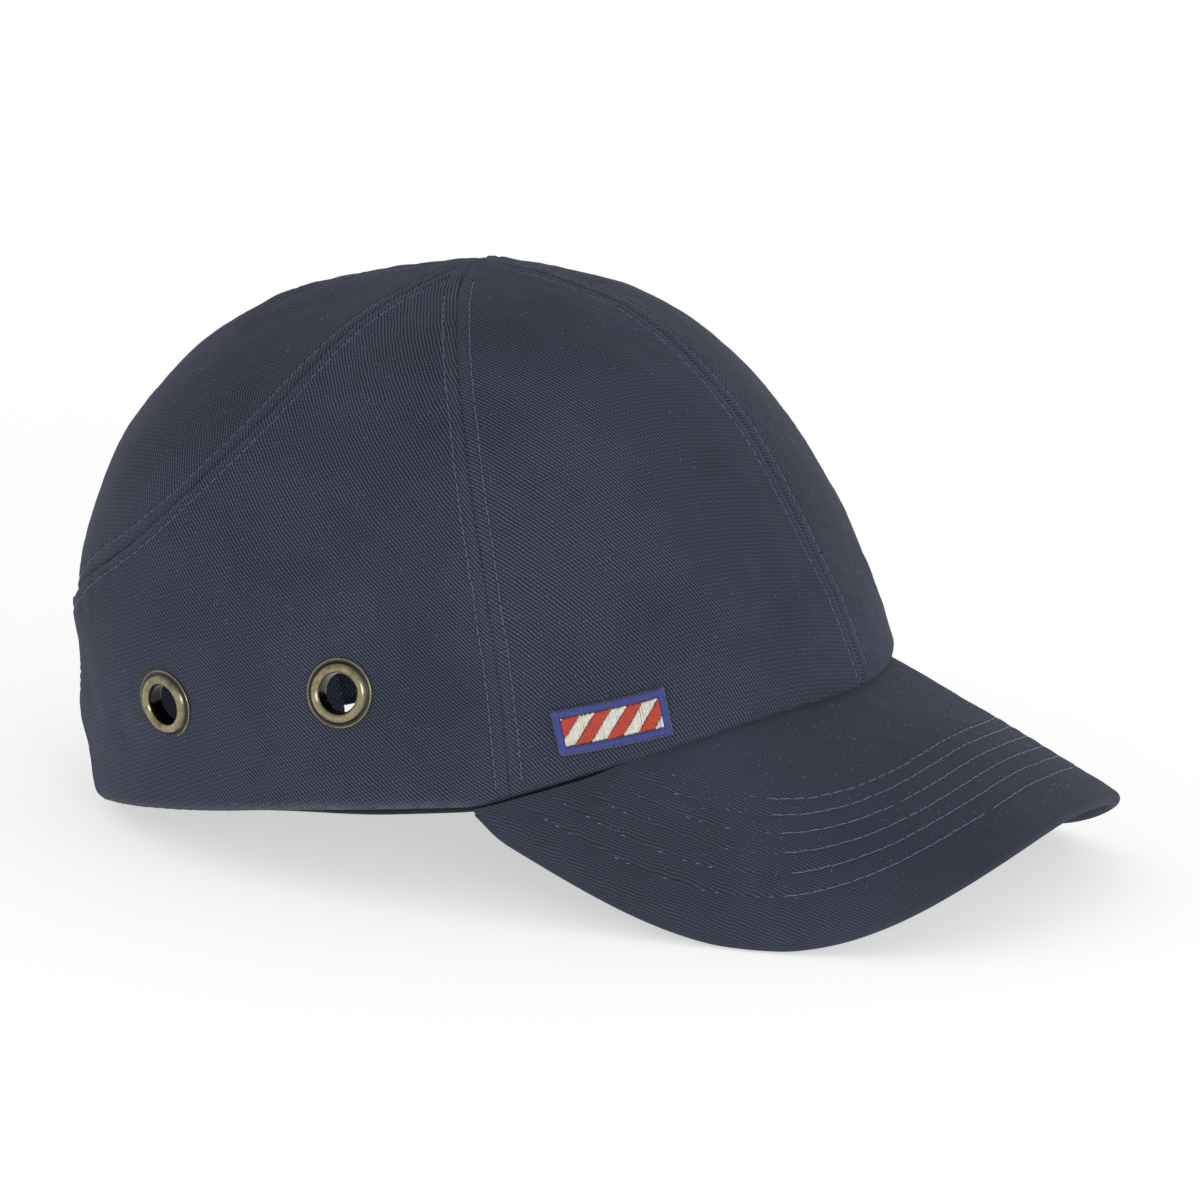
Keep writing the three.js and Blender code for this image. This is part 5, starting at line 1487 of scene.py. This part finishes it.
# -------------------------------------------------------------------- strap
def strap_pt(deg, out, h):
    t, a = STRAP["tilt"] * D, np.asarray(deg, float) * D
    r = STRAP["r"] + out - STRAP["taper"] * h
    back = r * np.cos(a) - STRAP["r"]
    return np.stack([-r * np.sin(a) + ORIGIN[0], STRAP["y"] + back * math.cos(t) + h * math.sin(t) + ORIGIN[1],
                     STRAP["z"] - back * math.sin(t) + h * math.cos(t) + ORIGIN[2]], -1)


def strap_obj(name, nodes, a0, a1, out0, out1, h0, h1, mat, body, tip=0.0, n=160, m=26, floor=False, edge_seam=True, ride=True):
    dg = np.linspace(a0, a1, n)
    s = np.abs(dg - a1) * D * STRAP["r"]
    r = 5.0
    cut = np.where(s < r, r - np.sqrt(np.maximum(0, r * r - (r - s) ** 2)), 0) * (tip > 0)
    v = np.linspace(0, 1, m)
    H = (h0 + cut)[:, None] + ((h1 - cut) - (h0 + cut))[:, None] * v[None]
    dd = np.minimum(H - h0, h1 - H)
    bump = (0.10 * g(dd, 0.8, 0.8) - 0.12 * g(dd, 2.2, 0.4)) * edge_seam
    A = strap_pt(dg[:, None] + 0 * H, out1 - 0.05 + bump, H)
    B = strap_pt(dg[:, None] + 0 * H, out0 + 0.05 + 0 * bump, H)
    if floor:
        A[..., 2], B[..., 2] = np.maximum(A[..., 2], 0.0), np.maximum(B[..., 2], 0.0)
    uv = np.stack(np.broadcast_arrays((dg * D * STRAP["r"])[:, None], H), -1)
    o = slab(name, A, B, uv, None, bulge=0.3)
    o.data.materials.clear()
    o.data.materials.append(mat)
    if ride:
        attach(o, body)
    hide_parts(*nodes)
    rows = []
    if edge_seam:
        for hh in (h0 + 2.2, h1 - 2.2):
            ok = (s > 3)
            L = strap_pt(dg[ok], out1 - 0.1, hh + 0 * dg[ok])
            L[:, 2] = np.maximum(L[:, 2], 0.2)
            C = strap_pt(dg[ok], out1 + 3, hh + 0 * dg[ok])
            rows.append((L, unit(C - L)))
    return o, rows


webb = twill("strap_twill", NAVY, 24, soft=0.1)
o, r1 = strap_obj("strap_left_cloth", ["strap_left"], -58, 9, -5.5, -4.3, -1.6, STRAP_H, webb, "cover", floor=True)
rows = []
for i, (L, N) in enumerate(r1):
    rows += stitch_row(L, N, 2.8, 0.45, 0.16, seed=150 + i)
thread_mesh("strap_left_stitching", rows)
# base and tail are one piece of cloth
o, r2 = strap_obj("strap_right_cloth", ["strap_right_base", "strap_right_tail"], 58, -16, -2.4, -1.2, 0.6, STRAP_H, webb, None, tip=5, ride=False)
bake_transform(o)
rows = []
for i, (L, N) in enumerate(r2):
    rows += stitch_row(L, N, 2.8, 0.45, 0.16, seed=160 + i)
so = tubes("strap_right_stitching", [(P / 1000, N) for P, N in rows], 0.16 / 1000)
so.data.materials.append(M_THREAD)
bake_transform(so)
o, _ = strap_obj("hook_pile", ["hook_tape"], 11, -14.5, -3.2, -2.65, 2.6, STRAP_H - 2, M_HOOK, "strap_tail", edge_seam=False)
o, _ = strap_obj("loop_pile_tape", ["loop_tape"], -34, 8, -4.15, -3.45, 2.6, STRAP_H - 2, M_LOOP, "cover", edge_seam=False)

# -------------------------------------------------------------------- stage
bpy.ops.mesh.primitive_plane_add(size=30, location=(0, 0, 0))
floor = bpy.context.object
floor.name = "floor"
fm = Nodes("floor_paper")
fm.b.inputs["Base Color"].default_value = (0.62, 0.62, 0.61, 1)
fm.b.inputs["Emission Color"].default_value = (1, 1, 1, 1)
fm.b.inputs["Emission Strength"].default_value = 0.56
fm.b.inputs["Roughness"].default_value = 0.9
fm.b.inputs["Specular IOR Level"].default_value = 0.1
floor.data.materials.append(fm.m)

w = bpy.context.scene.world or bpy.data.worlds.new("World")
bpy.context.scene.world = w
w.use_nodes = True
w.node_tree.nodes["Background"].inputs[0].default_value = (1, 1, 1, 1)
wt = w.node_tree
sep = wt.nodes.new("ShaderNodeSeparateXYZ")
wt.links.new(wt.nodes.new("ShaderNodeTexCoord").outputs["Generated"], sep.inputs[0])
mr = wt.nodes.new("ShaderNodeMapRange")
for i, v in ((1, 0.12), (2, 0.95), (3, 1.02), (4, 0.50)):
    mr.inputs[i].default_value = v
wt.links.new(sep.outputs[2], mr.inputs[0])
wt.links.new(mr.outputs[0], wt.nodes["Background"].inputs[1])


def area_light(name, loc, look, size, power, colour=(1, 1, 1)):
    l = bpy.data.lights.new(name, "AREA")
    l.shape, l.size, l.energy, l.color = "DISK", size, power, colour
    o = bpy.data.objects.new(name, l)
    bpy.context.scene.collection.objects.link(o)
    o.location = loc
    o.rotation_euler = (Vector(look) - Vector(loc)).to_track_quat("-Z", "Y").to_euler()
    return o


area_light("key_soft", (-2.0, -1.7, 0.72), (0, 0, 0.07), 1.0, 18, (1.0, 0.99, 0.97))


# camera
PHI, ELEV, DIST, FOCAL, TX, TY, ROLL = 63.26304 * D, 11.327156 * D, 2939.5134516, 11469.8, 22.9143, 47.57901, -0.059995
b = np.array([math.cos(PHI) * math.cos(ELEV), math.sin(PHI) * math.cos(ELEV), math.sin(ELEV)])
r0 = np.array([math.sin(PHI), -math.cos(PHI), 0])
u0 = np.array([-math.cos(PHI) * math.sin(ELEV), -math.sin(PHI) * math.sin(ELEV), math.cos(ELEV)])
rx, uy = r0 * math.cos(ROLL) + u0 * math.sin(ROLL), u0 * math.cos(ROLL) - r0 * math.sin(ROLL)
C = place(b * DIST + rx * TX + uy * TY)
X, Y, Z = turn(rx), turn(uy), turn(b)
cam = bpy.data.cameras.new("camera")
cam.sensor_width = 36
cam.lens = FOCAL * 36 / 1200
cam.clip_start, cam.clip_end = 0.1, 60
co = bpy.data.objects.new("camera", cam)
bpy.context.scene.collection.objects.link(co)
co.matrix_world = Matrix(((X[0], Y[0], Z[0], C[0]), (X[1], Y[1], Z[1], C[1]), (X[2], Y[2], Z[2], C[2]), (0, 0, 0, 1)))
bpy.context.scene.camera = co
bpy.context.scene.view_settings.view_transform = "Standard"
bpy.context.scene.view_settings.look = "None"
